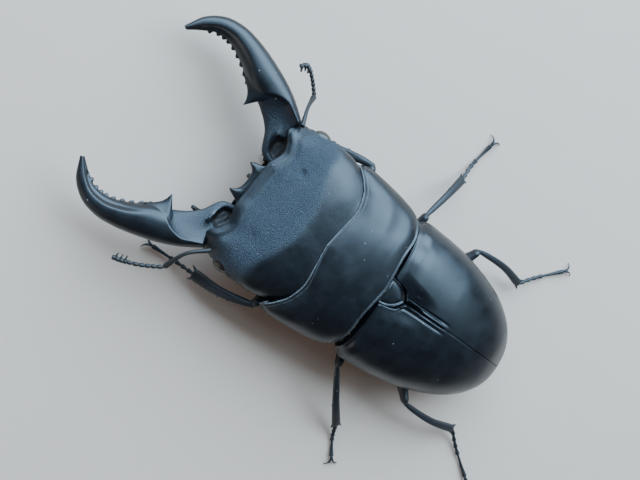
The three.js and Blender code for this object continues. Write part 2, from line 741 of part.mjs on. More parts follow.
const skullJaws = Object.fromEntries(
  Object.entries(jaws).map(([name, jaw]) => [name, grown(retold(jaw, head, beetle))]),
);
const chin = grown(retold(mentum, head, beetle));
for (const name of Object.keys(SIDES)) {
  const feeler = FEELERS[name];
  const scapeRadius = (t) => lerp(FEELER.scape, FEELER.knob, t * t);
  const scape = tube(curve(feeler.scape), 6, 5, scapeRadius, scapeRadius, UPRIGHT);
  const bead = beaded(FEELER.whip, FEELER.bead, FEELER.beads);
  const whip = tube(curve(feeler.whip), 5, 2 * FEELER.beads, bead, bead, UPRIGHT);
  const club = clubGeometry(feeler);
  const joint = beaded(PALP.waist, PALP.radius, PALP.joints);
  const maxillary = tube(curve(MAXILLARY[name]), 4, 6, joint, joint, UPRIGHT);
  const labial = tube(curve(LABIAL[name]), 4, 4, joint, joint, UPRIGHT);
  const pieces = {
    [`antenna_${name}_scape`]: cut(scape, skull, skullJaws[name]),
    [`antenna_${name}_flagellum`]: cut(whip, grown(scape)),
    [`antenna_${name}_club`]: cut(club, grown(whip), grown(scape)),
    [`maxillary_palp_${name}`]: cut(maxillary, skull, skullJaws[name], chin),
    [`labial_palp_${name}`]: cut(labial, skull, chin, skullJaws[name]),
  };
  for (const [piece, geometry] of Object.entries(pieces))
    place(beetle, piece, largest(geometry), SHELL.feeler);
}

beetle.updateMatrixWorld(true);
export default beetle;
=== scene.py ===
"""A male giant flat stag beetle, finished in fine meshes over its solid model.

All shapes are worked out in millimetres in the frames of the pose, with +Z up, and are told
in the solid model's own frame in metres when a piece is made. The beetle faces -Y and its
left side is +X.
"""

import math

import bpy
import numpy as np
from mathutils import Matrix, Vector
from mathutils.kdtree import KDTree


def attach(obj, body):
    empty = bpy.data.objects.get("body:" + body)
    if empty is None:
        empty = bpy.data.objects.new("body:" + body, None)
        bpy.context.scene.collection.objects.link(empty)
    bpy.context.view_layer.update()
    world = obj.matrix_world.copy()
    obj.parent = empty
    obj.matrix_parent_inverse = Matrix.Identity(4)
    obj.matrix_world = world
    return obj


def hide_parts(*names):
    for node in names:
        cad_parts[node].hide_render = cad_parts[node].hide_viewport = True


bl_info = {
    "name": "Giant flat stag beetle",
    "version": (1, 0, 0),
    "blender": (4, 5, 0),
    "location": "3D View > Sidebar > Beetle",
    "description": "Shell plates, mandibles, limbs, feelers and bristles of a stag beetle",
    "category": "Object",
}

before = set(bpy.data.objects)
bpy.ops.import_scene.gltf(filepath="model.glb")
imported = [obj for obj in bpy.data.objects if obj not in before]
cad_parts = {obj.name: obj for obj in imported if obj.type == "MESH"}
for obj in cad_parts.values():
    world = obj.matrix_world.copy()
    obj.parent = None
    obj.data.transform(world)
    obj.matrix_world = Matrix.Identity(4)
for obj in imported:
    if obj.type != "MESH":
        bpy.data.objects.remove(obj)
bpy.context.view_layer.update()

MM = 0.001
SIDES = {"left": 1, "right": -1}
SHARP_EDGE = math.radians(60)

# ------------------------------------------------------------ sizes of the solid model

SEAM = 0.12
ORIGIN_SHIFT = (1.19, 4.16, 0)
BACK_HEIGHT = 16.5
BODY_PITCH = 3.5
THORAX_PLACE = (-0.15, -0.3, 0.27)
THORAX_BOW, THORAX_YAW = 4.4, -2.3
HEAD_PLACE = (-0.22, -12.55, -1.2)
HEAD_BOW, HEAD_YAW = 9, -2.8

ELYTRA_LENGTH = 31.6
ELYTRA_HALF_WIDTH = 13.5
ELYTRA_SHOULDER = 0.12
ELYTRA_CROWN = 2.35
ELYTRA_FOLD = 0.3
SCUTELLUM_HALF_WIDTH = 2.5
SCUTELLUM_LENGTH = 4.3
SCUTELLUM_THICKNESS = 1.4
BELLY_INSET = 0.7
BELLY_TOP = 0.45
BELLY_SPLIT = 12.6
BELLY_SQUARENESS = 2.7
THORAX_LENGTH = 13.8
THORAX_HALF_WIDTH = 14.65
THORAX_SEAM = -5.6
THORAX_SQUARENESS = 2.3
THORAX_GRID = (170, 240)
HEAD_LENGTH = 16
HEAD_HALF_WIDTH = 14.05
HEAD_SQUARENESS = 2.6
HEAD_REAR = -1.9
LABRUM_Y, LABRUM_Z, LABRUM_THICKNESS = 14.8, -5, 1.6
EYE_RADIUS, EYE_X, EYE_Y, EYE_Z = 1.45, 12.9, -10.6, -4.3
HEAD_PITS, HEAD_PITS_Y = ((-6.4, 0.45), (6.4, 0.12)), -10.1  # x and depth of each
CHIN_PLACE, CHIN_RADII = (0, -12.9, -8.4), (4.4, 2.6, 1.1)

JAW_OUTER = [
    (12.4, 14.2), (14.3, 16.8), (15.7, 19.1), (17.1, 22.2), (18.2, 25.4),
    (19, 28.6), (19.3, 31.6), (18.65, 34.8), (16.6, 37.5), (13.3, 39.25),
]
JAW_INNER = [
    (4.2, 14), (5, 17), (8.4, 19.1), (10.9, 22.3), (12.2, 25.4),
    (14.3, 28.6), (15.7, 31.8), (15.7, 34.4), (14.6, 36.4), (12.95, 38.6),
]
JAW_HINGE = (8.3, -14)
JAW_TURN = {"left": 0.6, "right": 1.3}
JAW_ROUNDNESS, JAW_FLANGE = 2.3, 0.35
TOOTH_FOOT, TOOTH_TIP, TOOTH_LIFT, TOOTH_RISE = (12.9, -23.3), (9.1, -24.3), -2.1, 0.5
TOOTH_RADIUS = 2.1
LAST_TOOTH_AT, LAST_TOOTH_REACH, LAST_TOOTH_RADIUS = 0.84, 0.45, 0.6
DENTICLES, DENTICLE_FROM, DENTICLE_TO = 8, 0.46, 0.77
DENTICLE_RADIUS, DENTICLE_REACH = 0.5, 0.42

# Joints of each leg: coxa, knee, ankle and claws, from the scutellum's foot on the floor.
LEGS = {
    "fore_left": ((3.9, -9.6, 4.7), (14, -15, 8.6), (15.6, -25, 2.4), (15.4, -33)),
    "fore_right": ((-4.1, -9.2, 4.7), (-16, -11, 8.6), (-13.2, -22.4, 2.6), (-8.4, -24.2)),
    "mid_left": ((4.6, 2.6, 4.3), (15.1, 3.9, 8.4), (24.6, 12.7, 2.4), (30, 16.2)),
    "mid_right": ((-4.6, 2.6, 4.3), (-14.6, 2.2, 8.4), (-24.4, 6.8, 2.4), (-32.6, 8.6)),
    "hind_left": ((4.6, 11.2, 3.2), (14.2, 18.9, 7.6), (13.9, 32.9, 2.2), (20.4, 41.8)),
    "hind_right": ((-4.6, 11.2, 3.2), (-14.8, 14.6, 7.6), (-15, 27.8, 2.2), (-22, 35.2)),
}
# Radii: the coxa's three, the femur's, and the tibia's two at its thickest.
LEG_RADII = {
    "fore": ((2.9, 1.7, 1.7), 1.65, 1.02, 0.72),
    "mid": ((2.3, 1.7, 1.5), 1.45, 0.78, 0.62),
    "hind": ((3.6, 1.6, 1.3), 1.5, 0.76, 0.6),
}
TIBIA_SPINES = {"fore": (0.35, 0.5, 0.64, 0.78), "mid": (0.58,), "hind": ()}
TIBIA_ARCH, SPUR_REACH, SPUR_LENGTH, SPUR_RADIUS, THORN_RADIUS = 0.55, 0.75, 0.8, 0.34, 0.34
CLAW_HEIGHT = 0.62
TARSUS_RADIUS, TARSUS_WAIST, TARSUS_SAG = 0.46, 0.27, 0.5
FOOT_JOINTS = (0, 0.15, 0.29, 0.43, 0.57, 1)
CLAW_LENGTH, CLAW_RADIUS, CLAW_RISE = 1.75, 0.34, 0.9

FEELERS = {
    "left": {
        "scape": ((10.4, -27.2, 11.6), (13.1, -30.2, 11), (16.85, -31.6, 9.6)),
        "whip": ((16.85, -31.6, 9.6), (18.6, -34.9, 9.1), (19.3, -36.8, 8.8)),
        "club": ((19.3, -36.8, 8.8), (19.7, -38.1, 8.6), (19.9, -39.3, 8.5)),
        "leaves": (-1, 0, 0),
    },
    "right": {
        "scape": ((-14.4, -26, 11.6), (-17.6, -26.3, 9.4), (-20.1, -25.7, 6.6)),
        "whip": ((-20.1, -25.7, 6.6), (-22, -27.4, 6.6), (-23.2, -28.8, 6.7)),
        "club": ((-23.2, -28.8, 6.7), (-23.5, -29.7, 6.7), (-22.6, -30.6, 6.8)),
        "leaves": (1, 0.4, 0),
    },
}
FEELER_SCAPE, FEELER_KNOB, FEELER_BEAD = 0.4, 0.52, 0.38
FEELER_CLUB, FEELER_LEAF, FEELER_BEADS = 0.42, 1.05, 6
MAXILLARY = {
    "left": ((3.4, -26.4, 5.4), (5.2, -29.4, 6.2), (6.2, -31.2, 7.2), (6.2, -32.9, 7.9)),
    "right": ((-6.6, -26.2, 5.4), (-8.8, -27.1, 5), (-10.6, -28, 5.2), (-12.2, -28.7, 5.6)),
}
LABIAL = {
    "left": ((-0.6, -25.3, 4.4), (-0.4, -26.1, 3.9), (-0.5, -26.9, 3.4)),
    "right": ((-3, -25.2, 4.4), (-3.2, -26, 3.9), (-3.3, -26.8, 3.4)),
}
PALP_RADIUS, PALP_WAIST, PALP_JOINTS = 0.4, 0.27, 3

# ------------------------------------------------------------ curves


def through(*knots):
    """A smooth function through (place, value) pairs that never overshoots them."""
    place, value = np.array(knots, float).T
    rise = np.diff(value) / np.diff(place)
    before, after = np.append(rise[0], rise), np.append(rise, rise[-1])
    total = np.where(before * after > 0, before + after, 1)
    slope = np.where(before * after > 0, 2 * before * after / total, 0)

    def at(x):
        x = np.clip(x, place[0], place[-1])
        i = np.clip(np.searchsorted(place, x, side="right") - 1, 0, len(place) - 2)
        span = place[i + 1] - place[i]
        s = (x - place[i]) / span
        return (
            value[i] * (1 + 2 * s) * (1 - s) ** 2
            + slope[i] * span * s * (1 - s) ** 2
            + value[i + 1] * s * s * (3 - 2 * s)
            + slope[i + 1] * span * s * s * (s - 1)
        )

    return at


elytra_top = through((0, 0), (5, 0.6), (12, 0.7), (20, -0.7), (26, -3), (30, -5.9), (31.6, -8))
elytra_edge = through((0, -5.2), (8, -6), (20, -7.3), (31.6, -8.7))
belly_depth = through((-1.5, 4.4), (2, 5.8), (9, 6), (16, 5.2), (24, 3.9), (29, 2.3), (31, 1))
thorax_half_width = through(
    (0, 0.86), (0.8, 0.9), (2.3, 0.935), (6, 0.975), (11.4, 1), (13, 0.985), (13.8, 0.95)
)
thorax_top = through((0, -0.1), (3, 0.5), (7, 0.6), (11, -0.2), (14, -1.4))
thorax_front = through((0, 12.3), (0.25, 11.8), (0.5, 11.3), (0.7, 11.9), (0.83, 13), (0.95, 14.4))
thorax_rear = through((0, -0.3), (0.42, 0.25), (0.65, 0), (0.85, 0.5), (1, 0.5))
head_half_width = through((-1, 0.84), (2, 0.93), (5.5, 0.99), (9, 1), (13, 0.955), (16, 0.92))
head_top = through((-1, -0.4), (4, 0.5), (9, 0.5), (13, 0), (16.4, -1.2))
head_edge = through((-1, -4.2), (8, -4.2), (16, -4.4))
head_depth = through((-1, 4.4), (6, 5.2), (13, 4.8), (16.4, 3.2))
head_front = through(
    (0, 15.3), (0.3, 15.2), (0.5, 14.3), (0.62, 14.8), (0.75, 15.9), (0.87, 15.5), (1, 14)
)
jaw_lift = through((0, -3.5), (0.3, -2.9), (0.7, -2.5), (1, -1.8))
jaw_up = through((0, 1.9), (0.2, 2.3), (0.4, 2.6), (0.62, 2), (0.85, 1.2), (1, 0.55))
jaw_down = through((0, 2.2), (0.36, 2.3), (0.7, 1.6), (1, 0.55))
jaw_ridge = through((0, 0.88), (0.18, 0.78), (0.3, 0.58), (0.42, 0.5), (1, 0.5))
jaw_crest = through(
    (0, 0.92), (0.12, 0.86), (0.2, 0.79), (0.26, 0.65), (0.31, 0.46), (0.38, 0), (0.42, -0.5)
)


def elytra_half_width(y):
    shoulder = 1 - ELYTRA_SHOULDER * np.maximum(0, 1 - y / 3) ** 2
    rest = np.clip(1 - (np.maximum(y, 0) / ELYTRA_LENGTH) ** 2.7, 0, 1)
    return ELYTRA_HALF_WIDTH * shoulder * np.sqrt(rest)


def lerp(a, b, t):
    return a + (b - a) * t


def unit(vectors):
    vectors = np.asarray(vectors, float)
    return vectors / np.maximum(np.linalg.norm(vectors, axis=-1, keepdims=True), 1e-9)


def eased_grid(steps, sides):
    """Shares along a skin, closest together at its ends, and angles round it."""
    t = (0.5 - 0.5 * np.cos(np.linspace(0, math.pi, steps)))[:, None] * np.ones(sides)
    angle = np.linspace(0, 2 * math.pi, sides, endpoint=False) * np.ones((steps, 1))
    return t, angle


def signed_power(value, power):
    return np.sign(value) * np.abs(value) ** power


def section(angle, half_width, up, down, squareness):
    """x and z of a rounded cross-section: angle 0 is its left edge and a quarter turn its top."""
    x = half_width * signed_power(np.cos(angle), 2 / squareness)
    s = signed_power(np.sin(angle), 2 / squareness)
    return x, np.where(s > 0, up * s, down * s)


def spline(knots, count, even=True):
    """Points of a centripetal Catmull-Rom curve, evenly spaced along it or along its knots."""
    p = np.array(knots, float)
    p = np.vstack([2 * p[0] - p[1], p, 2 * p[-1] - p[-2]])
    t = np.linspace(0, len(p) - 3, 400 if even else count)
    i = np.minimum(t.astype(int), len(p) - 4)
    w = (t - i)[:, None]
    p0, p1, p2, p3 = p[i], p[i + 1], p[i + 2], p[i + 3]
    d0, d1, d2 = (
        np.maximum(np.linalg.norm(b - a, axis=1, keepdims=True), 1e-6) ** 0.5
        for a, b in ((p0, p1), (p1, p2), (p2, p3))
    )
    m1 = d1 * ((p1 - p0) / d0 - (p2 - p0) / (d0 + d1) + (p2 - p1) / d1)
    m2 = d1 * ((p2 - p1) / d1 - (p3 - p1) / (d1 + d2) + (p3 - p2) / d2)
    points = p1 + m1 * w + (3 * (p2 - p1) - 2 * m1 - m2) * w**2 + (2 * (p1 - p2) + m1 + m2) * w**3
    return evenly(points, count) if even else points


def evenly(points, count):
    steps = np.linalg.norm(np.diff(points, axis=0), axis=1)
    length = np.append(0, np.cumsum(steps))
    wanted = np.linspace(0, length[-1], count)
    return np.stack([np.interp(wanted, length, points[:, k]) for k in range(3)], axis=1)


def hill(x, centre, width):
    """A smooth bump of height 1 at centre."""
    return np.exp(-(((x - centre) / width) ** 2))


def ramp(x, start, end):
    """0 before start, 1 after end, and smooth between."""
    s = np.clip((x - start) / (end - start), 0, 1)
    return s * s * (3 - 2 * s)


def ripple(points, size, seed):
    """Smooth irregular waves between about -1 and 1, with hollows about size across."""
    rng = np.random.default_rng(seed)
    total = np.zeros(points.shape[:-1])
    for _ in range(6):
        way = unit(rng.normal(size=3))
        pitch = size * rng.uniform(0.7, 1.6)
        total += np.sin(points @ way * (2 * math.pi / pitch) + rng.uniform(0, 2 * math.pi))
    return total / 4


# ------------------------------------------------------------ frames of the pose


def frame_matrix(place, bow=0.0, yaw=0.0):
    turn = Matrix.Rotation(math.radians(yaw), 4, "Z") @ Matrix.Rotation(math.radians(bow), 4, "X")
    return np.array(Matrix.Translation(place) @ turn)


BEETLE = frame_matrix(ORIGIN_SHIFT)
BODY = BEETLE @ frame_matrix((0, 0, BACK_HEIGHT), -BODY_PITCH)
THORAX = BODY @ frame_matrix(THORAX_PLACE, THORAX_BOW, THORAX_YAW)
HEAD = THORAX @ frame_matrix(HEAD_PLACE, HEAD_BOW, HEAD_YAW)


def told(points, pose):
    """Points of a frame of the pose, told in the solid model's frame."""
    return np.asarray(points) @ pose[:3, :3].T + pose[:3, 3]


def turned(vectors, pose):
    return np.asarray(vectors) @ pose[:3, :3].T


# ------------------------------------------------------------ meshes


class Shape:
    """Points in millimetres, the faces between them, and named masks with a value per point."""

    def __init__(self, points, faces, masks=None):
        self.points = np.asarray(points, float)
        self.faces = faces
        self.masks = masks or {}

    def told(self, pose):
        return Shape(told(self.points, pose), self.faces, self.masks)


def joined(*shapes):
    points, faces, start = [], [], 0
    masks = {key: [] for shape in shapes for key in shape.masks}
    for shape in shapes:
        points.append(shape.points)
        faces += [[v + start for v in face] for face in shape.faces]
        for key, parts in masks.items():
            parts.append(shape.masks.get(key, np.zeros(len(shape.points))))
        start += len(shape.points)
    return Shape(np.vstack(points), faces, {key: np.concatenate(v) for key, v in masks.items()})


def skin(rings, masks=None):
    """A closed skin over rings of points, with a cap at each end, its faces outwards."""
    steps, sides = rings.shape[:2]
    i, j = np.meshgrid(np.arange(steps - 1), np.arange(sides), indexing="ij")
    a, b = i * sides + j, i * sides + (j + 1) % sides
    quads = np.stack([a, b, b + sides, a + sides], axis=-1).reshape(-1, 4).tolist()
    first, last = steps * sides, steps * sides + 1
    end = (steps - 1) * sides
    for k in range(sides):
        n = (k + 1) % sides
        quads.append([first, n, k])
        quads.append([last, end + k, end + n])
    points = np.vstack([rings.reshape(-1, 3), rings[0].mean(axis=0), rings[-1].mean(axis=0)])
    shape = Shape(points, quads)
    for key, values in (masks or {}).items():
        flat = values.reshape(-1)
        shape.masks[key] = np.concatenate([flat, [values[0].mean()], [values[-1].mean()]])
    if volume(rings) < 0:
        shape.faces = [face[::-1] for face in shape.faces]
    return shape


def volume(rings):
    """Signed volume inside rings, counting the way their faces turn."""
    a, b = rings[:-1], np.roll(rings, -1, axis=1)[:-1]
    c, d = np.roll(rings, -1, axis=1)[1:], rings[1:]
    middle = rings.mean(axis=(0, 1))
    a, b, c, d = a - middle, b - middle, c - middle, d - middle
    return np.sum(a * np.cross(b, c)) + np.sum(a * np.cross(c, d))


def ring_normals(rings):
    """Outward unit normals of a skin of rings."""
    around = np.roll(rings, -1, axis=1) - np.roll(rings, 1, axis=1)
    along = np.gradient(rings, axis=0)
    normals = unit(np.cross(around, along))
    return normals if np.sum(normals * (rings - rings.mean(axis=1, keepdims=True))) > 0 else -normals


# Rings of a rolled lip: how far down its height and how far in its depth each one lies.
LIP_PROFILE = ((0.1, -0.1), (0.3, -0.16), (0.55, -0.1), (0.8, 0.1), (1.0, 0.5), (1.6, 1.0))


def lipped(rings, at_start=True, lip=0.4, depth=1.0):
    """Rings with their ends rolled in: a rounded rim, then a hollow behind it."""
    normals = ring_normals(rings)

    def rolled(edge, inner, normal):
        inward = unit(inner - edge)
        return np.stack(
            [edge - normal * lip * share + inward * depth * back for share, back in LIP_PROFILE]
        )

    parts = [rings]
    if at_start:
        parts.insert(0, rolled(rings[0], rings[2], normals[0])[::-1])
    parts.append(rolled(rings[-1], rings[-3], normals[-1]))
    return np.concatenate(parts)


def tube(path, wide, deep, flat=(0, 0, 1), sides=20):
    """A tube round a path, with radii wide across and deep towards flat."""
    along = unit(np.gradient(path, axis=0))
    across = unit(np.cross(np.asarray(flat, float), along))
    up = np.cross(along, across)
    angle = np.linspace(0, 2 * math.pi, sides, endpoint=False)
    wide, deep = np.broadcast_to(wide, len(path)), np.broadcast_to(deep, len(path))
    rings = (
        path[:, None]
        + (wide[:, None] * np.cos(angle))[..., None] * across[:, None]
        + (deep[:, None] * np.sin(angle))[..., None] * up[:, None]
    )
    return skin(rings)


def cone(foot, tip, radius, sides=12, steps=10, bend=(0, 0, 0), flare=1.0, flat=1.0):
    """A pointed spine, bent by a vector at its middle, and flatter than wide by flat."""
    s = np.linspace(0, 1, steps)[:, None]
    path = lerp(np.asarray(foot, float), np.asarray(tip, float), s) + np.asarray(bend) * 4 * s * (1 - s)
    thick = radius * ((1 - s[:, 0]) ** flare * 0.97 + 0.03)
    return tube(path, thick, thick * flat, (0.05, 0.03, 1), sides)


def ellipsoid(centre, radii, turn=0.0, sides=40):
    t = np.linspace(0.02, 0.98, sides // 2) * math.pi
    angle = np.linspace(0, 2 * math.pi, sides, endpoint=False)
    rings = np.stack(
        [
            np.sin(t)[:, None] * np.cos(angle),
            np.sin(t)[:, None] * np.sin(angle),
            np.cos(t)[:, None] * np.ones(sides),
        ],
        axis=-1,
    ) * np.asarray(radii, float)
    c, s = math.cos(turn), math.sin(turn)
    return skin(rings @ np.array([[c, s, 0], [-s, c, 0], [0, 0, 1]]) + np.asarray(centre, float))


def raw_mesh(name, shape, scale=1.0):
    mesh = bpy.data.meshes.new(name)
    mesh.from_pydata((shape.points * scale).tolist(), [], shape.faces)
    for key, values in shape.masks.items():
        layer = mesh.attributes.new(key, "FLOAT", "POINT")
        layer.data.foreach_set("value", values.astype(np.float32))
    mesh.update()
    return mesh


def linked(name, data):
    obj = bpy.data.objects.new(name, data)
    bpy.context.scene.collection.objects.link(obj)
    return obj


def evaluated(obj):
    """The object's mesh with its modifiers done, as a plain mesh."""
    bpy.context.view_layer.update()
    graph = bpy.context.evaluated_depsgraph_get()
    return bpy.data.meshes.new_from_object(obj.evaluated_get(graph), depsgraph=graph)


def discard(obj):
    data = obj.data
    bpy.data.objects.remove(obj)
    if data.users == 0:
        bpy.data.meshes.remove(data)


def without_crumbs(points, faces):
    """The main skin, without the specks that remeshing leaves shut off inside it."""
    label = np.arange(len(points))
    while True:
        least = label.copy()
        np.minimum.at(least, faces, label[faces].min(axis=1)[:, None])
        least = least[least]
        if np.array_equal(least, label):
            break
        label = least
    kept = label == np.bincount(label).argmax()
    number = np.cumsum(kept) - 1
    return Shape(points[kept], number[faces[kept[faces[:, 0]]]].tolist())


def fused(shapes, voxel, smooth=4):
    """One closed skin round shapes that run into each other."""
    obj = linked("fusing", raw_mesh("fusing", joined(*shapes)))
    remesh = obj.modifiers.new("Fuse", "REMESH")
    remesh.mode = "VOXEL"
    remesh.voxel_size = voxel
    soften = obj.modifiers.new("Soften", "SMOOTH")
    soften.factor = 0.5
    soften.iterations = smooth
    mesh = evaluated(obj)
    points = np.empty(len(mesh.vertices) * 3, np.float32)
    mesh.vertices.foreach_get("co", points)
    faces = np.array([list(face.vertices) for face in mesh.polygons])
    bpy.data.meshes.remove(mesh)
    discard(obj)
    return without_crumbs(points.reshape(-1, 3), faces)


def finish_piece(name, shape, look, node):
    """A finished piece of the beetle, standing for one solid."""
    mesh = raw_mesh(name, shape, MM)
    mesh.shade_smooth()
    mesh.set_sharp_from_angle(angle=SHARP_EDGE)
    mesh.materials.append(finish(look))
    settle(linked(name, mesh), node)


def settle(obj, node=None):
    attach(obj, "root")
    if node:
        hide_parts(node)


# ------------------------------------------------------------ setting out with Geometry Nodes


def setting_out_tree():
    """Instances of one piece on a mesh's points, along each point's lie and at its size."""
    name = "Set out on roots"
    if name in bpy.data.node_groups:
        return bpy.data.node_groups[name]
    tree = bpy.data.node_groups.new(name, "GeometryNodeTree")
    for label, kind in (
        ("Roots", "NodeSocketGeometry"),
        ("Piece", "NodeSocketObject"),
        ("Spread", "NodeSocketFloat"),
        ("Seed", "NodeSocketInt"),
        ("Material", "NodeSocketMaterial"),
    ):
        tree.interface.new_socket(label, in_out="INPUT", socket_type=kind)
    tree.interface.new_socket("Geometry", in_out="OUTPUT", socket_type="NodeSocketGeometry")
    add = tree.nodes.new
    given, made = add("NodeGroupInput"), add("NodeGroupOutput")
    lie, size = add("GeometryNodeInputNamedAttribute"), add("GeometryNodeInputNamedAttribute")
    for node, key in ((lie, "lie"), (size, "size")):
        node.data_type = "FLOAT_VECTOR"
        node.inputs["Name"].default_value = key
    chance = add("FunctionNodeRandomValue")
    chance.data_type = "FLOAT_VECTOR"
    chance.inputs["Min"].default_value = (-1, -1, -1)
    chance.inputs["Max"].default_value = (1, 1, 1)
    spread, stray = add("ShaderNodeVectorMath"), add("ShaderNodeVectorMath")
    spread.operation, stray.operation = "SCALE", "ADD"
    aim = add("FunctionNodeAlignRotationToVector")
    aim.axis = "Z"
    piece, instances = add("GeometryNodeObjectInfo"), add("GeometryNodeInstanceOnPoints")
    real, paint = add("GeometryNodeRealizeInstances"), add("GeometryNodeSetMaterial")
    for source, made_by, target, socket in (
        (given, "Seed", chance, "Seed"),
        (chance, "Value", spread, 0),
        (given, "Spread", spread, "Scale"),
        (lie, "Attribute", stray, 0),
        (spread, "Vector", stray, 1),
        (stray, "Vector", aim, "Vector"),
        (given, "Piece", piece, "Object"),
        (given, "Roots", instances, "Points"),
        (piece, "Geometry", instances, "Instance"),
        (aim, "Rotation", instances, "Rotation"),
        (size, "Attribute", instances, "Scale"),
        (instances, "Instances", real, "Geometry"),
        (real, "Geometry", paint, "Geometry"),
        (given, "Material", paint, "Material"),
        (paint, "Geometry", made, "Geometry"),
    ):
        tree.links.new(source.outputs[made_by], target.inputs[socket])
    return tree


def set_out(name, roots, lie, size, piece, material, spread=0.0, seed=1):
    """A plain mesh object of one piece repeated on roots, given in millimetres."""
    roots_mesh = bpy.data.meshes.new("roots")
    roots_mesh.from_pydata((np.asarray(roots) * MM).tolist(), [], [])
    for key, values in (("lie", lie), ("size", np.asarray(size) * MM)):
        layer = roots_mesh.attributes.new(key, "FLOAT_VECTOR", "POINT")
        layer.data.foreach_set("vector", np.asarray(values, np.float32).reshape(-1))
    roots_obj = linked("roots", roots_mesh)
    piece_obj = linked("repeated piece", raw_mesh("repeated piece", piece))
    tree = setting_out_tree()
    modifier = roots_obj.modifiers.new("Set out", "NODES")
    modifier.node_group = tree
    values = {"Piece": piece_obj, "Spread": spread, "Seed": seed, "Material": material}
    for item in tree.interface.items_tree:
        if item.in_out == "INPUT" and item.name in values:
            modifier[item.identifier] = values[item.name]
    mesh = evaluated(roots_obj)
    mesh.name = name
    mesh.shade_smooth()
    discard(roots_obj)
    discard(piece_obj)
    return linked(name, mesh)


def bristle():
    """One bristle of unit size along +Z, bent a little and ending in a point."""
    s = np.linspace(0, 1, 5)
    path = np.stack([0.18 * s**2, 0 * s, s], axis=1)
    thick = (1 - s) ** 0.7 + 0.04
    angle = np.linspace(0, 2 * math.pi, 4, endpoint=False)
    rings = path[:, None] + thick[:, None, None] * np.stack(
        [np.cos(angle), np.sin(angle), 0 * angle], axis=1
    )
    return skin(rings)


def bake_map(obj, piece_points, places):
    """Each repeated piece gets one small patch of the OFBake map at its root's place."""
    mesh = obj.data
    patch, columns, rows = 0.003, 4, 6
    layer = mesh.uv_layers.new(name="OFBake")
    corner_points = np.empty(len(mesh.loops), int)
    mesh.loops.foreach_get("vertex_index", corner_points)
    which, within = corner_points // piece_points, corner_points % piece_points
    shift = np.stack([within % columns, within // columns % rows], axis=1) / (columns, rows)
    spots = np.clip(np.asarray(places)[which], 0, 1 - patch) + shift * patch
    layer.data.foreach_set("uv", spots.astype(np.float32).reshape(-1))


# ------------------------------------------------------------ finishes


class Nodes:
    """Short hand for building a node tree."""

    def __init__(self, tree):
        self.tree = tree

    def add(self, kind, settings=None, **inputs):
        node = self.tree.nodes.new(kind)
        for key, value in (settings or {}).items():
            setattr(node, key, value)
        for key, value in inputs.items():
            self.feed(value, node.inputs[key.replace("_", " ")])
        return node

    def feed(self, value, socket):
        if isinstance(value, bpy.types.NodeSocket):
            self.tree.links.new(value, socket)
        else:
            socket.default_value = value

    def maths(self, operation, a, b=0.0, clamp=False):
        node = self.tree.nodes.new("ShaderNodeMath")
        node.operation = operation
        node.use_clamp = clamp
        self.feed(a, node.inputs[0])
        self.feed(b, node.inputs[1])
        return node.outputs[0]

    def times(self, a, b, clamp=False):
        return self.maths("MULTIPLY", a, b, clamp)

    def plus(self, a, b, clamp=False):
        return self.maths("ADD", a, b, clamp)

    def noise(self, place, scale, detail):
        made = self.add("ShaderNodeTexNoise", Vector=place, Scale=scale, Detail=detail)
        return made.outputs["Fac"]

    def span(self, value, low, high, to_low=0.0, to_high=1.0):
        node = self.tree.nodes.new("ShaderNodeMapRange")
        node.interpolation_type = "SMOOTHSTEP"
        for key, item in zip(
            ("Value", "From Min", "From Max", "To Min", "To Max"),
            (value, low, high, to_low, to_high),
        ):
            self.feed(item, node.inputs[key])
        return node.outputs["Result"]

    def mix(self, share, a, b):
        node = self.tree.nodes.new("ShaderNodeMix")
        node.data_type = "RGBA"
        self.feed(share, node.inputs["Factor"])
        self.feed(a, node.inputs["A"])
        self.feed(b, node.inputs["B"])
        return node.outputs["Result"]


def shader_group(name, inputs, outputs, build):
    """A shader node group, built once: build(nodes, inputs) returns its outputs by name."""
    if name in bpy.data.node_groups:
        return bpy.data.node_groups[name]
    tree = bpy.data.node_groups.new(name, "ShaderNodeTree")
    for label, (kind, value) in inputs.items():
        socket = tree.interface.new_socket(label, in_out="INPUT", socket_type=kind)
        socket.default_value = value
    for label, kind in outputs.items():
        tree.interface.new_socket(label, in_out="OUTPUT", socket_type=kind)
    nodes = Nodes(tree)
    given, made = tree.nodes.new("NodeGroupInput"), tree.nodes.new("NodeGroupOutput")
    for label, socket in build(nodes, given.outputs).items():
        tree.links.new(socket, made.inputs[label])
    return tree


NUMBER, COLOUR = "NodeSocketFloat", "NodeSocketColor"


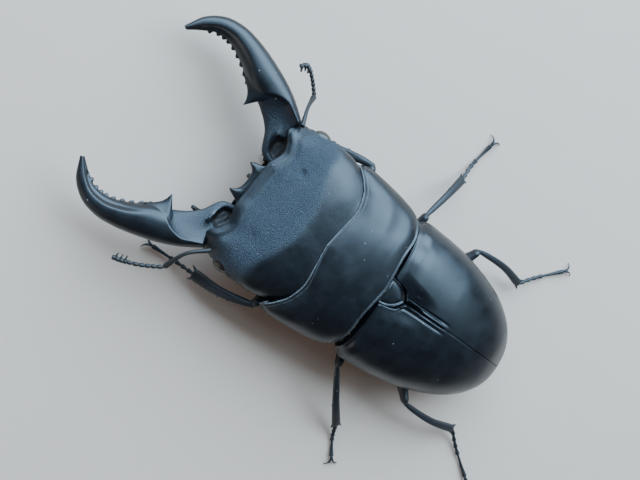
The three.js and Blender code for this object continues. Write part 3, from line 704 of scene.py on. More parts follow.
def chitin_group():
    """Grain, fine pits and slow waves of a shell plate, its tone and gloss, and the grains' peaks,
    where a bluish sheen is painted.
    """

    def build(n, given):
        place = n.add("ShaderNodeTexCoord").outputs["Object"]
        grain = n.add(
            "ShaderNodeTexVoronoi",
            {"feature": "SMOOTH_F1"},
            Vector=place,
            Scale=given["Grains per metre"],
            Smoothness=0.35,
        ).outputs["Distance"]
        break_up = n.noise(place, given["Grains per metre"], 3.0)
        wave = n.noise(place, 420.0, 4.0)
        fine = n.noise(place, 9000.0, 2.0)
        mound = n.maths("SUBTRACT", n.times(break_up, 0.7), grain)
        bumps = n.times(mound, given["Grain"])
        height = n.plus(bumps, n.times(fine, given["Fine"]))
        height = n.plus(height, n.times(wave, given["Wave"]))
        tone = n.span(n.plus(wave, n.times(fine, 0.2)), 0.35, 0.85)
        colour = n.mix(tone, given["Colour"], given["Second Colour"])
        glint = n.times(n.span(grain, 0.0, 0.6), given["Grain"])
        gloss = n.plus(given["Roughness"], n.times(tone, 0.08))
        gloss = n.plus(gloss, n.times(glint, 0.12), clamp=True)
        # how high each grain stands: the painted bluish sheen is brightest on the grains' tops
        peak = n.span(mound, -0.3, 0.25, 0.15, 1.0)
        return {"Colour": colour, "Height": height, "Roughness": gloss, "Peak": peak}

    return shader_group(
        "Chitin",
        {
            "Colour": (COLOUR, (0.01, 0.01, 0.012, 1)),
            "Second Colour": (COLOUR, (0.02, 0.02, 0.022, 1)),
            "Roughness": (NUMBER, 0.4),
            "Grains per metre": (NUMBER, 4000.0),
            "Grain": (NUMBER, 1.0),
            "Fine": (NUMBER, 0.2),
            "Wave": (NUMBER, 0.5),
        },
        {"Colour": COLOUR, "Height": NUMBER, "Roughness": NUMBER, "Peak": NUMBER},
        build,
    )


def dust_group():
    """Pale specks of dust, a few to each square centimetre, and a film in the grooves."""

    def build(n, given):
        place = n.add("ShaderNodeTexCoord").outputs["Object"]
        cells = n.add(
            "ShaderNodeTexVoronoi", Vector=place, Scale=given["Specks per metre"], Randomness=1.0
        )
        split = n.add("ShaderNodeSeparateColor", Color=cells.outputs["Color"])
        chosen = n.maths("LESS_THAN", split.outputs[0], given["Share"])
        size = n.times(split.outputs[1], 0.07)
        speck = n.maths("LESS_THAN", cells.outputs["Distance"], n.plus(size, 0.02))
        mask = n.times(speck, chosen)
        film = n.span(n.noise(place, 2500.0, 3.0), 0.2, 0.6)
        film = n.times(film, given["Film"], clamp=True)
        mask = n.maths("MAXIMUM", mask, film)
        colour = n.mix(mask, given["Colour"], given["Dust Colour"])
        return {"Colour": colour, "Mask": mask}

    return shader_group(
        "Dust",
        {
            "Colour": (COLOUR, (0.01, 0.01, 0.012, 1)),
            "Dust Colour": (COLOUR, (0.32, 0.32, 0.32, 1)),
            "Specks per metre": (NUMBER, 900.0),
            "Share": (NUMBER, 0.25),
            "Film": (NUMBER, 0.0),
        },
        {"Colour": COLOUR, "Mask": NUMBER},
        build,
    )


LEAST_GRAIN = 0.05
CHITIN_IOR = 1.56
DUST_ROUGHNESS = 0.4


def shell_material(name, colour, second, roughness, grain=0.0, **more):
    """A chitin finish. Masks painted on a piece place its grain with a painted bluish sheen on the
    grains' peaks, its tint, gloss and film.
    """
    known = bpy.data.materials.get(name)
    if known:
        return known
    material = bpy.data.materials.new(name)
    material.use_nodes = True
    n = Nodes(material.node_tree)
    principled = material.node_tree.nodes["Principled BSDF"]
    chitin = n.add("ShaderNodeGroup", {"node_tree": chitin_group()})
    dust = n.add("ShaderNodeGroup", {"node_tree": dust_group()})
    settings = {
        "Colour": colour,
        "Second Colour": second,
        "Roughness": roughness,
        "Grains per metre": more.get("grains", 4000.0),
        "Grain": grain,
        "Fine": more.get("fine", 0.2),
        "Wave": more.get("wave", 0.5),
    }
    for key, value in settings.items():
        chitin.inputs[key].default_value = value

    def mask(key):
        return n.add("ShaderNodeAttribute", {"attribute_name": key}).outputs["Fac"]

    rough = chitin.outputs["Roughness"]
    tone = chitin.outputs["Colour"]
    # painted highlight: a bluish sheen mixed into the colour on the grains' peaks, where the grain mask
    # lies
    if "grain_sheen" in more:
        painted = mask("grain")
        n.feed(n.plus(n.times(painted, grain), LEAST_GRAIN), chitin.inputs["Grain"])
        peaks = n.times(painted, chitin.outputs["Peak"])
        tone = n.mix(peaks, tone, more["grain_sheen"])
        rough = n.plus(rough, n.times(painted, more.get("grain_rough", 0.0)))
    if "tint_colour" in more:
        tinted = mask(more["tint_mask"])
        tone = n.mix(tinted, tone, more["tint_colour"])
        rough = n.plus(rough, n.times(tinted, more.get("tint_rough", 0.0)))
    n.feed(tone, dust.inputs["Colour"])
    dust.inputs["Share"].default_value = more.get("dust", 0.25)
    if more.get("film"):
        n.feed(mask("film"), dust.inputs["Film"])
    dusty = n.times(dust.outputs["Mask"], DUST_ROUGHNESS)
    rough = n.plus(rough, dusty, clamp=True)
    if "wet" in more:
        n.feed(n.span(mask("gloss"), 0.0, 1.0, rough, more["wet"]), principled.inputs["Roughness"])
    else:
        n.feed(rough, principled.inputs["Roughness"])
    bump = n.add(
        "ShaderNodeBump",
        Height=chitin.outputs["Height"],
        Strength=more.get("bump", 0.5),
        Distance=more.get("relief", 0.00008),
    )
    n.feed(dust.outputs["Colour"], principled.inputs["Base Color"])
    n.feed(bump.outputs["Normal"], principled.inputs["Normal"])
    principled.inputs["IOR"].default_value = CHITIN_IOR
    principled.inputs["Specular IOR Level"].default_value = more.get("shine", 0.5)
    return material


JAW_PAINTED_SHEEN = 0.3  # share of the head's painted bluish sheen on the grained part of the mandibles


def rgba(colour):
    return (*colour, 1.0)


def finish(name):
    """The named finish of the beetle, with the colours of the panel."""
    paint = bpy.context.scene.beetle_colours
    black, thin, limb = rgba(paint.shell), rgba(paint.second), rgba(paint.limb)
    sheen_blue, brown = rgba(paint.painted_sheen), rgba(paint.brown)
    looks = {
        "head shell": dict(
            colour=black, second=thin, roughness=paint.head_roughness, grain=1.0, grains=7000.0,
            # the grained part of the head gets the painted bluish sheen
            grain_sheen=sheen_blue, grain_rough=0.1, bump=1.0, relief=0.0001, dust=0.14,
        ),
        "pronotum shell": dict(
            colour=black, second=thin, roughness=paint.pronotum_roughness, grain=0.12,
            grains=6000.0, film=True, bump=0.35, dust=0.3,
        ),
        "wing-case shell": dict(
            colour=black, second=thin, roughness=paint.elytra_roughness, grain=0.04,
            grains=7000.0, tint_mask="rim", tint_colour=brown, wet=0.2, wave=0.3, bump=0.3,
            dust=0.12,
        ),
        "mandible shell": dict(
            colour=black, second=thin, roughness=paint.jaw_roughness, grain=0.7, grains=6000.0,
            # the grained base gets a weaker painted bluish sheen; the tip mask gives the tip its brown
            # and the bowl a painted reflection
            grain_sheen=rgba([JAW_PAINTED_SHEEN * part for part in paint.painted_sheen]), tint_mask="tip",
            tint_colour=brown, tint_rough=0.3, wet=0.16, bump=0.8, dust=0.16,
        ),
        "leg shell": dict(
            colour=limb, second=thin, roughness=paint.limb_roughness, grain=0.3, grains=5000.0,
            dust=0.3,
        ),
        "underside shell": dict(
            colour=brown, second=limb, roughness=paint.limb_roughness, grain=0.2,
            grains=4500.0, dust=0.2,
        ),
        "feeler shell": dict(
            colour=brown, second=limb, roughness=paint.limb_roughness, grain=0.3,
            grains=9000.0, bump=0.4,
        ),
        "eye": dict(
            colour=rgba(paint.eye), second=thin, roughness=0.42, grain=1.0, grains=12000.0,
            fine=0.0, wave=0.0, bump=0.3, relief=0.00003, dust=0.0, shine=0.06,
        ),
        "golden bristles": dict(
            colour=rgba(paint.bristle), second=brown, roughness=0.45, fine=0.1, wave=0.2,
            dust=0.0,
        ),
    }
    return shell_material(name, **looks[name])


# ------------------------------------------------------------ settings


def length(label, description, default):
    return bpy.props.FloatProperty(
        name=label, description=description, default=default, unit="LENGTH", precision=5
    )


def colour(label, description, default):
    return bpy.props.FloatVectorProperty(
        name=label, description=description, default=default, size=3, subtype="COLOR", min=0, max=1
    )


def share(label, description, default):
    return bpy.props.FloatProperty(
        name=label, description=description, default=default, min=0, max=1, subtype="FACTOR"
    )


class BeetleSizes(bpy.types.PropertyGroup):
    """Sizes that a user may change without leaving the solid model."""

    bead: length("Bead", "Height of the beads along the plates' margins", 0.00012)
    fringe: length("Fringe", "Length of the bristles behind the pronotum", 0.0004)
    floor: length("Floor", "Width of the floor", 1.6)


class BeetleColours(bpy.types.PropertyGroup):
    """Colours and gloss of the beetle and its floor."""

    shell: colour("Shell", "Black of the plates", (0.0032, 0.0036, 0.0046))
    second: colour("Second", "Where the black is thinner", (0.006, 0.007, 0.009))
    # painted bluish sheen on the grained parts of head and jaws, standing in for the sky's reflection
    painted_sheen: colour("Painted sheen", "Grained part of the head", (0.038, 0.058, 0.085))
    limb: colour("Limb", "Black of the legs", (0.010, 0.0095, 0.0095))
    # brown is also the painted reflection in the mandibles' bowls
    brown: colour("Brown", "Rims, underside and feelers", (0.018, 0.0115, 0.008))
    eye: colour("Eye", "Facetted eyes", (0.006, 0.005, 0.004))
    bristle: colour("Bristle", "Golden bristles", (0.24, 0.17, 0.09))
    floor: colour("Floor", "Pale floor", (0.72, 0.51, 0.39))
    head_roughness: share("Head roughness", "Roughness of the head", 0.3)
    pronotum_roughness: share("Pronotum roughness", "Roughness of the pronotum", 0.3)
    elytra_roughness: share("Wing case roughness", "Roughness of the wing cases", 0.27)
    jaw_roughness: share("Jaw roughness", "Roughness of the mandibles", 0.3)
    limb_roughness: share("Limb roughness", "Roughness of the legs and feelers", 0.4)


# ------------------------------------------------------------ wing cases and scutellum


SUTURE = 0.01  # from the middle line to each wing case
plate_side = through((0, SCUTELLUM_HALF_WIDTH), (3.2, 1.7), (4.6, 0.1), (6, 0))


def wing_grid():
    """Angles and rings of the left wing case, closest along the suture, where relief is fine."""
    steps = 220
    t = 0.5 - 0.5 * np.cos(np.linspace(0, math.pi, steps))
    y = ELYTRA_LENGTH * np.sin(t * 0.965 * math.pi / 2)
    by_suture = np.arccos(np.linspace(0, 0.2, 44) ** (ELYTRA_CROWN / 2))
    over = np.linspace(by_suture[-1], 0, 96)[1:]
    angle = np.concatenate([by_suture, over, np.linspace(0, -math.pi / 2, 36)[1:]])
    y, angle = y[:, None] * np.ones(len(angle)), np.ones((steps, 1)) * angle
    edge = elytra_edge(y)
    x, z = section(angle, elytra_half_width(y), elytra_top(y) - edge, ELYTRA_FOLD, ELYTRA_CROWN)
    return angle, np.stack([np.maximum(x, SUTURE), y, edge + z], axis=-1)


def over_from_edge(angle, rings):
    """How far each point is from the wing case's edge, over the top."""
    steps_round = np.linalg.norm(np.diff(rings, axis=1), axis=2)
    arc = np.concatenate([np.zeros((len(rings), 1)), np.cumsum(steps_round, axis=1)], axis=1)
    rim = np.argmin(np.abs(angle[0]))
    return arc[:, rim : rim + 1] - arc


def wing_trough(x, y):
    """Shares across and along the trough that runs beside the scutellum."""
    width = lerp(4.8, 3.2, np.clip((y - 1.5) / 7, 0, 1))
    return 1 - ramp(x, 1.2, width), ramp(y, 0.4, 2.2) * (1 - ramp(y, 5.5, 10))


def wing_relief(rings, from_edge, from_suture, side):
    """How far a wing case stands up: its beads and grooves, then its shoulder and trough."""
    x, y = rings[..., 0], rings[..., 1]
    right = 1.0 if side < 0 else 0.0
    near = ramp(y, 3.4, 4.8) * (1 - ramp(y, 10.5, 14))
    bead = bpy.context.scene.beetle_sizes.bead / MM
    lift = bead * (0.06 + 0.94 * near) * hill(from_suture, 0.36, 0.2)
    lift -= bead * (1.5 + right) * near * hill(from_suture, 0.86, 0.2)
    lift -= bead * (0.25 + 0.95 * near) * hill(from_suture, 0, 0.12)
    lift += bead * hill(from_edge, 0.3, 0.2) - bead * hill(from_edge, 0.8, 0.3)
    lift += bead * hill(y, 0.35, 0.2) - bead * 0.8 * hill(y, 0.95, 0.35)
    # the shoulder's knob, a fold beside it, and the trough
    lift += 0.26 * hill(x, 10.6, 1.6) * hill(y, 2.2, 1.8)
    lift += (0.06 + 0.06 * right) * hill(x, 6.9, 1.5) * hill(y, 1.8, 1.5)
    lift -= (0.04 + 0.04 * right) * hill(x, 8.7, 1.1) * hill(y, 2.4, 1.8)
    across, along = wing_trough(x, y)
    lift -= (0.25 + 0.35 * right) * across * along
    lift += 0.12 * right * hill(x, 1.85, 0.32) * hill(y, 5.9, 1.1)
    lift += 0.03 * ripple(rings, 9, 3 + side)
    wrinkled = hill(x, 6.2, 2.6) * hill(y, 1.7, 1.7) * (0.35 + 0.65 * right)
    lift += 0.03 * wrinkled * ripple(rings * (0.4, 2.2, 1.0), 1.8, 11)
    lift -= 0.9 * (1 - ramp(y, 0, 0.5))
    return lift


def wing_case(side):
    angle, grid = wing_grid()
    x, y = grid[..., 0], grid[..., 1]
    from_edge, from_suture = over_from_edge(angle, grid), x - plate_side(y)
    top = (from_edge > 0) & (angle > 0)
    lift = wing_relief(grid, from_edge, from_suture, side)
    rings = grid + ring_normals(grid) * np.where(top, lift, 0)[..., None]
    rings[..., 0] = np.maximum(rings[..., 0], SUTURE)
    under_plate = (1 - ramp(from_suture, -0.02, 0.16)) * (1 - ramp(y, 4.35, 4.6))
    rings[..., 2] -= np.where(top, 0.9 * under_plate, 0)
    rings[..., 0] *= side
    across, along = wing_trough(x, y)
    gloss = across * along * (0.3 + 0.7 * (side < 0))
    masks = {
        "rim": np.where(top, hill(from_edge, 0, 0.7), 0.8) * 0.8,
        "gloss": np.where(top, gloss, 0),
    }
    return skin(rings, masks)


def scutellum_plate():
    steps, sides = 40, 72
    t = np.linspace(0, 1, sides // 2)
    w, l = SCUTELLUM_HALF_WIDTH, SCUTELLUM_LENGTH
    side_x = 2 * (1 - t) * t * 0.95 * w + (1 - t) ** 2 * w
    side_y = 2 * (1 - t) * t * 0.75 * l + t**2 * l
    outline = np.concatenate(
        [np.stack([side_x, side_y], 1), np.stack([-side_x[::-1], side_y[::-1]], 1)]
    )
    centre = np.array([0, l * 0.32])
    shrink = np.cos(np.linspace(0, math.pi / 2 * 0.98, steps))
    rise = np.sin(np.linspace(0, math.pi / 2, steps))
    rings = [np.column_stack([outline, np.full(len(outline), 0.12 - SCUTELLUM_THICKNESS)])]
    for inward, up in zip(shrink, rise):
        place = centre + (outline - centre) * inward
        rear = ramp(outline[:, 1], 0.6, 2.2)
        height = -0.5 + 0.4 * up + (0.05 + 0.2 * rear) * hill(inward, 0.93, 0.05)
        height -= 0.12 * hill(inward, 0.78, 0.08)
        rings.append(np.column_stack([place, height]))
    return skin(np.array(rings))


class MakeWingCases(bpy.types.Operator):
    """Make the two wing cases and the scutellum between them"""

    bl_idname = "beetle.wing_cases"
    bl_label = "Wing cases"

    def execute(self, context):
        for name, side in SIDES.items():
            shape = wing_case(side).told(BODY)
            node = f"elytron_{name}"
            finish_piece(f"wing_case_{name}", shape, "wing-case shell", node)
        shape = scutellum_plate().told(BODY)
        finish_piece("scutellum_plate", shape, "wing-case shell", "scutellum")
        return {"FINISHED"}


# ------------------------------------------------------------ underside


def belly(front, rear, plates=0):
    steps, sides = 150, 90
    t = np.linspace(0, 1, steps)[:, None] * np.ones(sides)
    angle = np.linspace(0, 2 * math.pi, sides, endpoint=False) * np.ones((steps, 1))
    y = lerp(front, rear, t)
    w = np.maximum(elytra_half_width(y) - BELLY_INSET, 0.5)
    along = t * plates % 1
    step = 0.22 * ramp(along, 0, 1) - 0.15 * hill(along, 0, 0.04) if plates else 0
    depth = belly_depth(y) + step
    x, z = section(angle, w, 0, depth, BELLY_SQUARENESS)
    below = z < -0.5
    middle = 0.25 * hill(x, 0, 0.45) * ramp(y, 0, 3) * (0 if plates else 1)
    z = z + np.where(below, middle, 0)
    z = z + np.where(below, 0.05 * ripple(np.stack([x, y, z], -1), 4, 5), 0)
    return skin(np.stack([x, y, elytra_edge(y) - BELLY_TOP + z], axis=-1))


class MakeUnderside(bpy.types.Operator):
    """Make the breast plate and the abdomen's rings"""

    bl_idname = "beetle.underside"
    bl_label = "Underside"

    def execute(self, context):
        for name, front, rear, plates, node in (
            ("breast_plate", -0.9, BELLY_SPLIT, 0, "metasternum"),
            ("abdomen_rings", BELLY_SPLIT + SEAM, 30.6, 5, "abdomen"),
        ):
            shape = belly(front, rear, plates).told(BODY)
            finish_piece(name, shape, "underside shell", node)
        return {"FINISHED"}


# ------------------------------------------------------------ prothorax


PRONOTUM_RIM = 0.35


def thorax_grid(half_width, up, down, level):
    """Rings of a half of the thorax, with each point's height in its section."""
    t, angle = eased_grid(*THORAX_GRID)
    x, z = section(angle, half_width(t), up(t), down(t), THORAX_SQUARENESS)
    u = np.minimum(np.abs(x) / THORAX_HALF_WIDTH, 1)
    y = -lerp(thorax_rear(u), thorax_front(u), t)
    return t, u, z, np.stack([x, y, level + z], axis=-1)


def thorax_width(t):
    return THORAX_HALF_WIDTH * thorax_half_width(THORAX_LENGTH * t)


def pronotum():
    """The upper half: a double line along its front, and beads along its other margins."""
    t, u, z, rings = thorax_grid(
        thorax_width, lambda t: thorax_top(THORAX_LENGTH * t) - THORAX_SEAM,
        lambda t: PRONOTUM_RIM, THORAX_SEAM,
    )
    x, forward = rings[..., 0], THORAX_LENGTH * t
    from_front, from_rear = (1 - t) * THORAX_LENGTH, t * THORAX_LENGTH
    bead = bpy.context.scene.beetle_sizes.bead / MM
    second = 0.35 + 0.4 * ramp(u, 0.1, 0.55)
    inward = 1 - 0.85 * ramp(u, 0.66, 0.9)
    lift = 0.6 * bead * hill(from_front, 0.12, 0.11) * inward
    lift += 0.2 * bead * hill(from_front, second, 0.11) * inward
    lift -= 0.1 * bead * hill(from_front, second + 0.32, 0.18)
    lift += bead * hill(from_rear, 0.18, 0.14) - bead * hill(from_rear, 0.5, 0.16)
    side_height = np.abs(z)
    lift += 1.2 * bead * hill(side_height, 0.1, 0.22) - 1.2 * bead * hill(side_height, 0.8, 0.3)
    lift -= 0.16 * hill(x, 0, 4.5) * ramp(from_front, 0.6, 2) * hill(forward, 3.2, 1.6)
    lift -= 0.22 * hill(np.abs(x), 9.5, 3) * hill(forward, 5, 2.2)
    lift += 0.03 * ripple(rings, 8, 21)
    film = 0.55 * hill(from_front, 0.08, 0.1) + 0.12 * hill(from_rear, 0.25, 0.3)
    film = np.where(z > 0, film + 0.12 * hill(from_front, second, 0.1), 0)
    rings = rings + ring_normals(rings) * np.where(z > 0, lift, 0)[..., None]
    pad = np.zeros((len(LIP_PROFILE), film.shape[1]))
    lips = lipped(rings, lip=PRONOTUM_RIM, depth=0.9)
    return skin(lips, {"film": np.concatenate([pad, film, pad])})


def throat():
    """The lower half: a keel along its middle and a fold across it."""
    t, _, z, rings = thorax_grid(
        lambda t: thorax_width(t) - 0.5, lambda t: 0, lambda t: 5.2 + 0.9 * np.sin(math.pi * t),
        THORAX_SEAM - (PRONOTUM_RIM + SEAM),
    )
    lift = 0.25 * hill(rings[..., 0], 0, 1.2) * ramp(t, 0.3, 0.9)
    lift = lift - 0.3 * hill(t, 0.72, 0.04) + 0.05 * ripple(rings, 3, 22)
    rings = rings + ring_normals(rings) * np.where(z < 0, lift, 0)[..., None]
    return skin(lipped(rings, lip=0.5, depth=0.9))


class MakeProthorax(bpy.types.Operator):
    """Make the pronotum and the plate under it"""

    bl_idname = "beetle.prothorax"
    bl_label = "Prothorax"

    def execute(self, context):
        shape = pronotum().told(THORAX)
        finish_piece("pronotum_plate", shape, "pronotum shell", "pronotum")
        shape = throat().told(THORAX)
        finish_piece("throat_plate", shape, "underside shell", "prosternum")
        return {"FINISHED"}


# ------------------------------------------------------------ head


def head_relief(rings, top, from_front):
    """How far the head stands up: its front bead, lobes and pits, and the rims of the eyes."""
    x, y = rings[..., 0], rings[..., 1]
    bead = bpy.context.scene.beetle_sizes.bead / MM
    lift = np.where(top, 0.7 * bead * hill(from_front, 0.75, 0.5), 0)
    lift -= np.where(top, 0.7 * bead * hill(from_front, 1.9, 0.6), 0)
    lift -= np.where(top, 0.42 * hill(x, 0, 4.5) * hill(y, -13.2, 3), 0)
    lift += np.where(top, 0.2 * hill(np.abs(x), 10.2, 1.6) * hill(y, -13.2, 2.4), 0)
    for pit_x, depth in HEAD_PITS:
        away = np.hypot(x - pit_x, y - HEAD_PITS_Y)
        lift -= np.where(top, depth * hill(away, 0, 0.55), 0)
        lift -= np.where(top, 0.4 * depth * hill(away, 0, 1.6), 0)
    mirrored = np.stack([np.abs(x), y, rings[..., 2]], axis=-1)
    from_eye = np.linalg.norm(mirrored - (EYE_X, EYE_Y, EYE_Z), axis=-1)
    lift += 0.22 * hill(from_eye, 2.15, 0.35) - 0.6 * hill(from_eye, 0.6, 0.9)
    uneven = 0.035 * ripple(rings, 2.4, 33) * ramp(-y, 6, 9)
    lift += 0.03 * ripple(rings, 7, 31) + np.where(top, uneven, 0)
    return lift


def head_grain(x, y, top, from_front):
    """Where the head is grained and gets its painted bluish sheen: in front of a line that bends
    forward towards its sides.
    """
    back_line = 4.7 + 2.4 * ramp(np.abs(x), 2, 11)
    grain = np.where(top, ramp(-y, back_line - 1.3, back_line + 1.3), 0.5)
    grain = grain * np.where(top, 0.15 + 0.85 * ramp(from_front, 1.1, 2.2), 1)
    return grain * (1 - 0.6 * hill(np.abs(x), 11.5, 2.4) * hill(y, -14, 2.2))


def head_capsule():
    steps, sides = 190, 260
    t, angle = eased_grid(steps, sides)
    forward = lerp(HEAD_REAR, HEAD_LENGTH, t)
    edge = head_edge(forward)
    w = HEAD_HALF_WIDTH * head_half_width(forward)
    x, z = section(angle, w, head_top(forward) - edge, head_depth(forward), HEAD_SQUARENESS)
    u = np.minimum(np.abs(x) / HEAD_HALF_WIDTH, 1)
    y = -forward * np.where(forward > 0, head_front(u) / HEAD_LENGTH, 1)
    rings = np.stack([x, y, edge + z], axis=-1)
    top, from_front = z > 0, (1 - t) * 17
    lift = head_relief(rings, top, from_front)
    rings = rings + ring_normals(rings) * lift[..., None]
    lips = lipped(rings, at_start=False, lip=0.3, depth=1.6)
    pad = np.zeros((len(LIP_PROFILE), sides))
    return skin(lips, {"grain": np.concatenate([head_grain(x, y, top, from_front), pad])})


def eye_ball(side):
    centre = (side * EYE_X, EYE_Y, EYE_Z)
    return ellipsoid(centre, (EYE_RADIUS, EYE_RADIUS * 1.25, EYE_RADIUS), sides=56)


class MakeHead(bpy.types.Operator):
    """Make the head and its eyes"""

    bl_idname = "beetle.head"
    bl_label = "Head"

    def execute(self, context):
        shape = head_capsule().told(HEAD)
        finish_piece("head_shell", shape, "head shell", "head")
        for name, side in SIDES.items():
            shape = eye_ball(side).told(HEAD)
            finish_piece(f"eye_ball_{name}", shape, "eye", f"eye_{name}")
        return {"FINISHED"}


# ------------------------------------------------------------ mandibles


def jaw_back(t, u):
    """How high the jaw's back stands over its edges, u across it from the inner one."""
    ridge, crest = jaw_ridge(t), jaw_crest(t)
    s = np.where(u < ridge, (ridge - u) / ridge, (u - ridge) / (1 - ridge))
    dome = jaw_up(t) * np.maximum(1 - s**JAW_ROUNDNESS, 0) ** (1 / JAW_ROUNDNESS)
    flange = (1 - ramp(u, 0.2, 0.36)) * ramp(t, 0.42, 0.68)
    below = np.maximum(crest - u, 0)
    z = dome * (1 - JAW_FLANGE * flange) * (1 - 0.66 * (1 - np.exp(-below / 0.2)))
    z = z - 0.08 * hill(u, 0.25, 0.09) * ramp(t, 0.42, 0.66) * (1 - ramp(t, 0.78, 0.9))
    z = z - 0.3 * hill(u, 0.12, 0.12) * hill(t, 0.885, 0.02)
    return z


BOWL_MIDDLE, BOWL_RADII, BOWL_DEPTH = (7.1, -15.3), (2.3, 1.65), 0.95
BOWL_COSINE, BOWL_SINE, BOWL_SQUARENESS = 0.9, 0.43, 2.5
SWELLING_MIDDLE, SWELLING_RADII, SWELLING_HEIGHT = (8.0, -15.7), (1.5, 0.55), 0.4


def jaw_bowl(places):
    """How far points are from the middle of the hollow at the jaw's hinge, with its rim at 1."""
    aside, ahead = places[..., 0] - BOWL_MIDDLE[0], BOWL_MIDDLE[1] - places[..., 1]
    along = BOWL_COSINE * aside + BOWL_SINE * ahead
    across = BOWL_COSINE * ahead - BOWL_SINE * aside
    far = np.abs(along / BOWL_RADII[0]) ** BOWL_SQUARENESS
    away = (far + np.abs(across / BOWL_RADII[1]) ** BOWL_SQUARENESS) ** (1 / BOWL_SQUARENESS)
    return away + 0.08 * ripple(places, 1.5, 5)


def jaw_swelling(places):
    """The wet swelling in front of the hollow."""
    x, y = places[..., 0], places[..., 1]
    across = hill(x, SWELLING_MIDDLE[0], SWELLING_RADII[0])
    return across * hill(y + 0.15 * x, SWELLING_MIDDLE[1], SWELLING_RADII[1])


def jaw_belly(t, u):
    dome = np.maximum(1 - np.abs(2 * u - 1) ** JAW_ROUNDNESS, 0)
    return -jaw_down(t) * dome ** (1 / JAW_ROUNDNESS)


def big_tooth(side):
    """A hollow-sided spike with a ridge on top, broad where it leaves the blade."""
    steps, sides = 40, 48
    mirror = np.array([side, 1, 1])
    s = np.linspace(0, 1, steps)[:, None]
    foot = np.array([*TOOTH_FOOT, TOOTH_LIFT])
    tip = np.array([*TOOTH_TIP, TOOTH_LIFT + TOOTH_RISE])
    path = lerp(foot, tip, s) + np.array([0, 0.12, 0]) * 4 * s * (1 - s)
    angle = np.linspace(0, 2 * math.pi, sides, endpoint=False)[None]
    wide = TOOTH_RADIUS * (0.9 * (1 - s) ** 1.35 + 0.1 * (1 - s) ** 0.4 + 0.02)
    deep = 1.5 * ((1 - s) ** 1.1 * 0.96 + 0.05)
    distal = np.where(np.cos(angle) < 0, 1.0 + 0.75 * (1 - s) ** 1.5, 0.95)
    aside = wide * distal * signed_power(np.cos(angle), 1.3)
    up = deep * signed_power(np.sin(angle), 1.3)
    rings = path[:, None] + aside[..., None] * (0, 1, 0) + up[..., None] * (0, 0, 1)
    rings[..., 1] += 0.3 * wide * np.maximum(np.sin(angle), 0)
    return skin(rings * mirror)


def jaw_grid():
    """Shares along and across the jaw, its edges, and rings laid flat between them."""
    steps, sides = 200, 96
    t = np.linspace(0, 1, steps)[:, None] * np.ones(sides)
    angle = np.linspace(0, 2 * math.pi, sides, endpoint=False)
    u = 0.5 - 0.5 * np.cos(angle) * np.ones((steps, 1))
    outer = spline([(a, -b, 0) for a, b in JAW_OUTER], steps, even=False)
    inner = spline([(a, -b, 0) for a, b in JAW_INNER], steps, even=False)
    rings = inner[:, None] + (outer - inner)[:, None] * u[..., None]
    return t, u, np.sin(angle) > 0, outer, inner, rings


def edge_teeth(inner, outer, mirror):
    """The small teeth along the inner edge, and the last one before the jaw's tip."""

    def edge_tooth(at, reach, radius, thick=0.8):
        k = int(round(at * (len(inner) - 1)))
        inward = unit(inner[k] - outer[k])
        level = np.array([0, 0, float(jaw_lift(at)) + 0.1])
        start, end = inner[k] - inward * 0.5 + level, inner[k] + inward * reach + level
        return cone(start * mirror, end * mirror, radius, flare=0.5, flat=thick)

    teeth = [edge_tooth(LAST_TOOTH_AT, LAST_TOOTH_REACH, LAST_TOOTH_RADIUS)]
    for i in range(DENTICLES):
        at = lerp(DENTICLE_FROM, DENTICLE_TO, i / (DENTICLES - 1))
        teeth.append(edge_tooth(at, DENTICLE_REACH + 0.06, 1.3 * DENTICLE_RADIUS, 0.6))
    return teeth


def jaw_masks(t, u, top, bowl, lip):
    """The wet lip, the grained base with its painted bluish sheen, the brown of the tip, and a painted
    brown reflection in the bowl.
    """
    bowl = np.where(top, ramp(bowl, 0.1, 0.5), 0)
    lip = np.where(top, ramp(lip, 0.05, 0.6), 0)
    base = np.where(top, ramp(jaw_crest(t) - u, 0.0, 0.12), 0.4 * (t < 0.3))
    return {
        "gloss": lip,
        "grain": base * (1 - lip) * (1 - bowl),
        # the tip's own brown, and a painted reflection in the bowl
        "tip": 0.2 * ramp(t, 0.8, 0.97) + 0.8 * bowl,
    }


def mandible(name, side):
    t, u, top, outer, inner, rings = jaw_grid()
    bowl, lip = 1 - ramp(jaw_bowl(rings), 0.55, 1), jaw_swelling(rings)
    hollow = bowl * (BOWL_DEPTH + 0.04 * ripple(rings, 0.5, 6))
    back = jaw_back(t, u) - hollow + SWELLING_HEIGHT * lip
    rings[..., 2] = jaw_lift(t) + np.where(top, back, jaw_belly(t, u))
    # the jaw's root dips under the corner of the head
    behind = head_front(rings[..., 0] / HEAD_HALF_WIDTH) + rings[..., 1]
    sunk = 1.9 * ramp(behind, -0.1, 0.5) * ramp(rings[..., 0], 9, 10.5) * top
    rings[..., 2] = np.maximum(rings[..., 2] - sunk, jaw_lift(t) + jaw_belly(t, u))
    mirror = np.array([side, 1, 1])
    rings = rings * mirror
    shape = fused([skin(rings), big_tooth(side), *edge_teeth(inner, outer, mirror)], 0.1, 3)
    shape.masks = carried(shape.points, rings, jaw_masks(t, u, top, bowl, lip))
    hinge = np.array([side * JAW_HINGE[0], JAW_HINGE[1], 0])
    turn = frame_matrix((0, 0, 0), yaw=JAW_TURN[name])
    shape.points = told(shape.points - hinge, turn) + hinge
    return shape


def carried(points, grid, masks):
    """Masks of a grid's points, carried over to the nearest of other points."""
    known = grid.reshape(-1, 3)
    tree = KDTree(len(known))
    for k, place in enumerate(known.tolist()):
        tree.insert(place, k)
    tree.balance()
    nearest = [tree.find(place)[1] for place in points.tolist()]
    return {key: values.reshape(-1)[nearest] for key, values in masks.items()}


class MakeMandibles(bpy.types.Operator):
    """Make the two mandibles with their teeth"""

    bl_idname = "beetle.mandibles"
    bl_label = "Mandibles"

    def execute(self, context):
        for name, side in SIDES.items():
            shape = mandible(name, side).told(HEAD)
            finish_piece(f"jaw_{name}", shape, "mandible shell", f"mandible_{name}")
        return {"FINISHED"}


# ------------------------------------------------------------ parts of the face


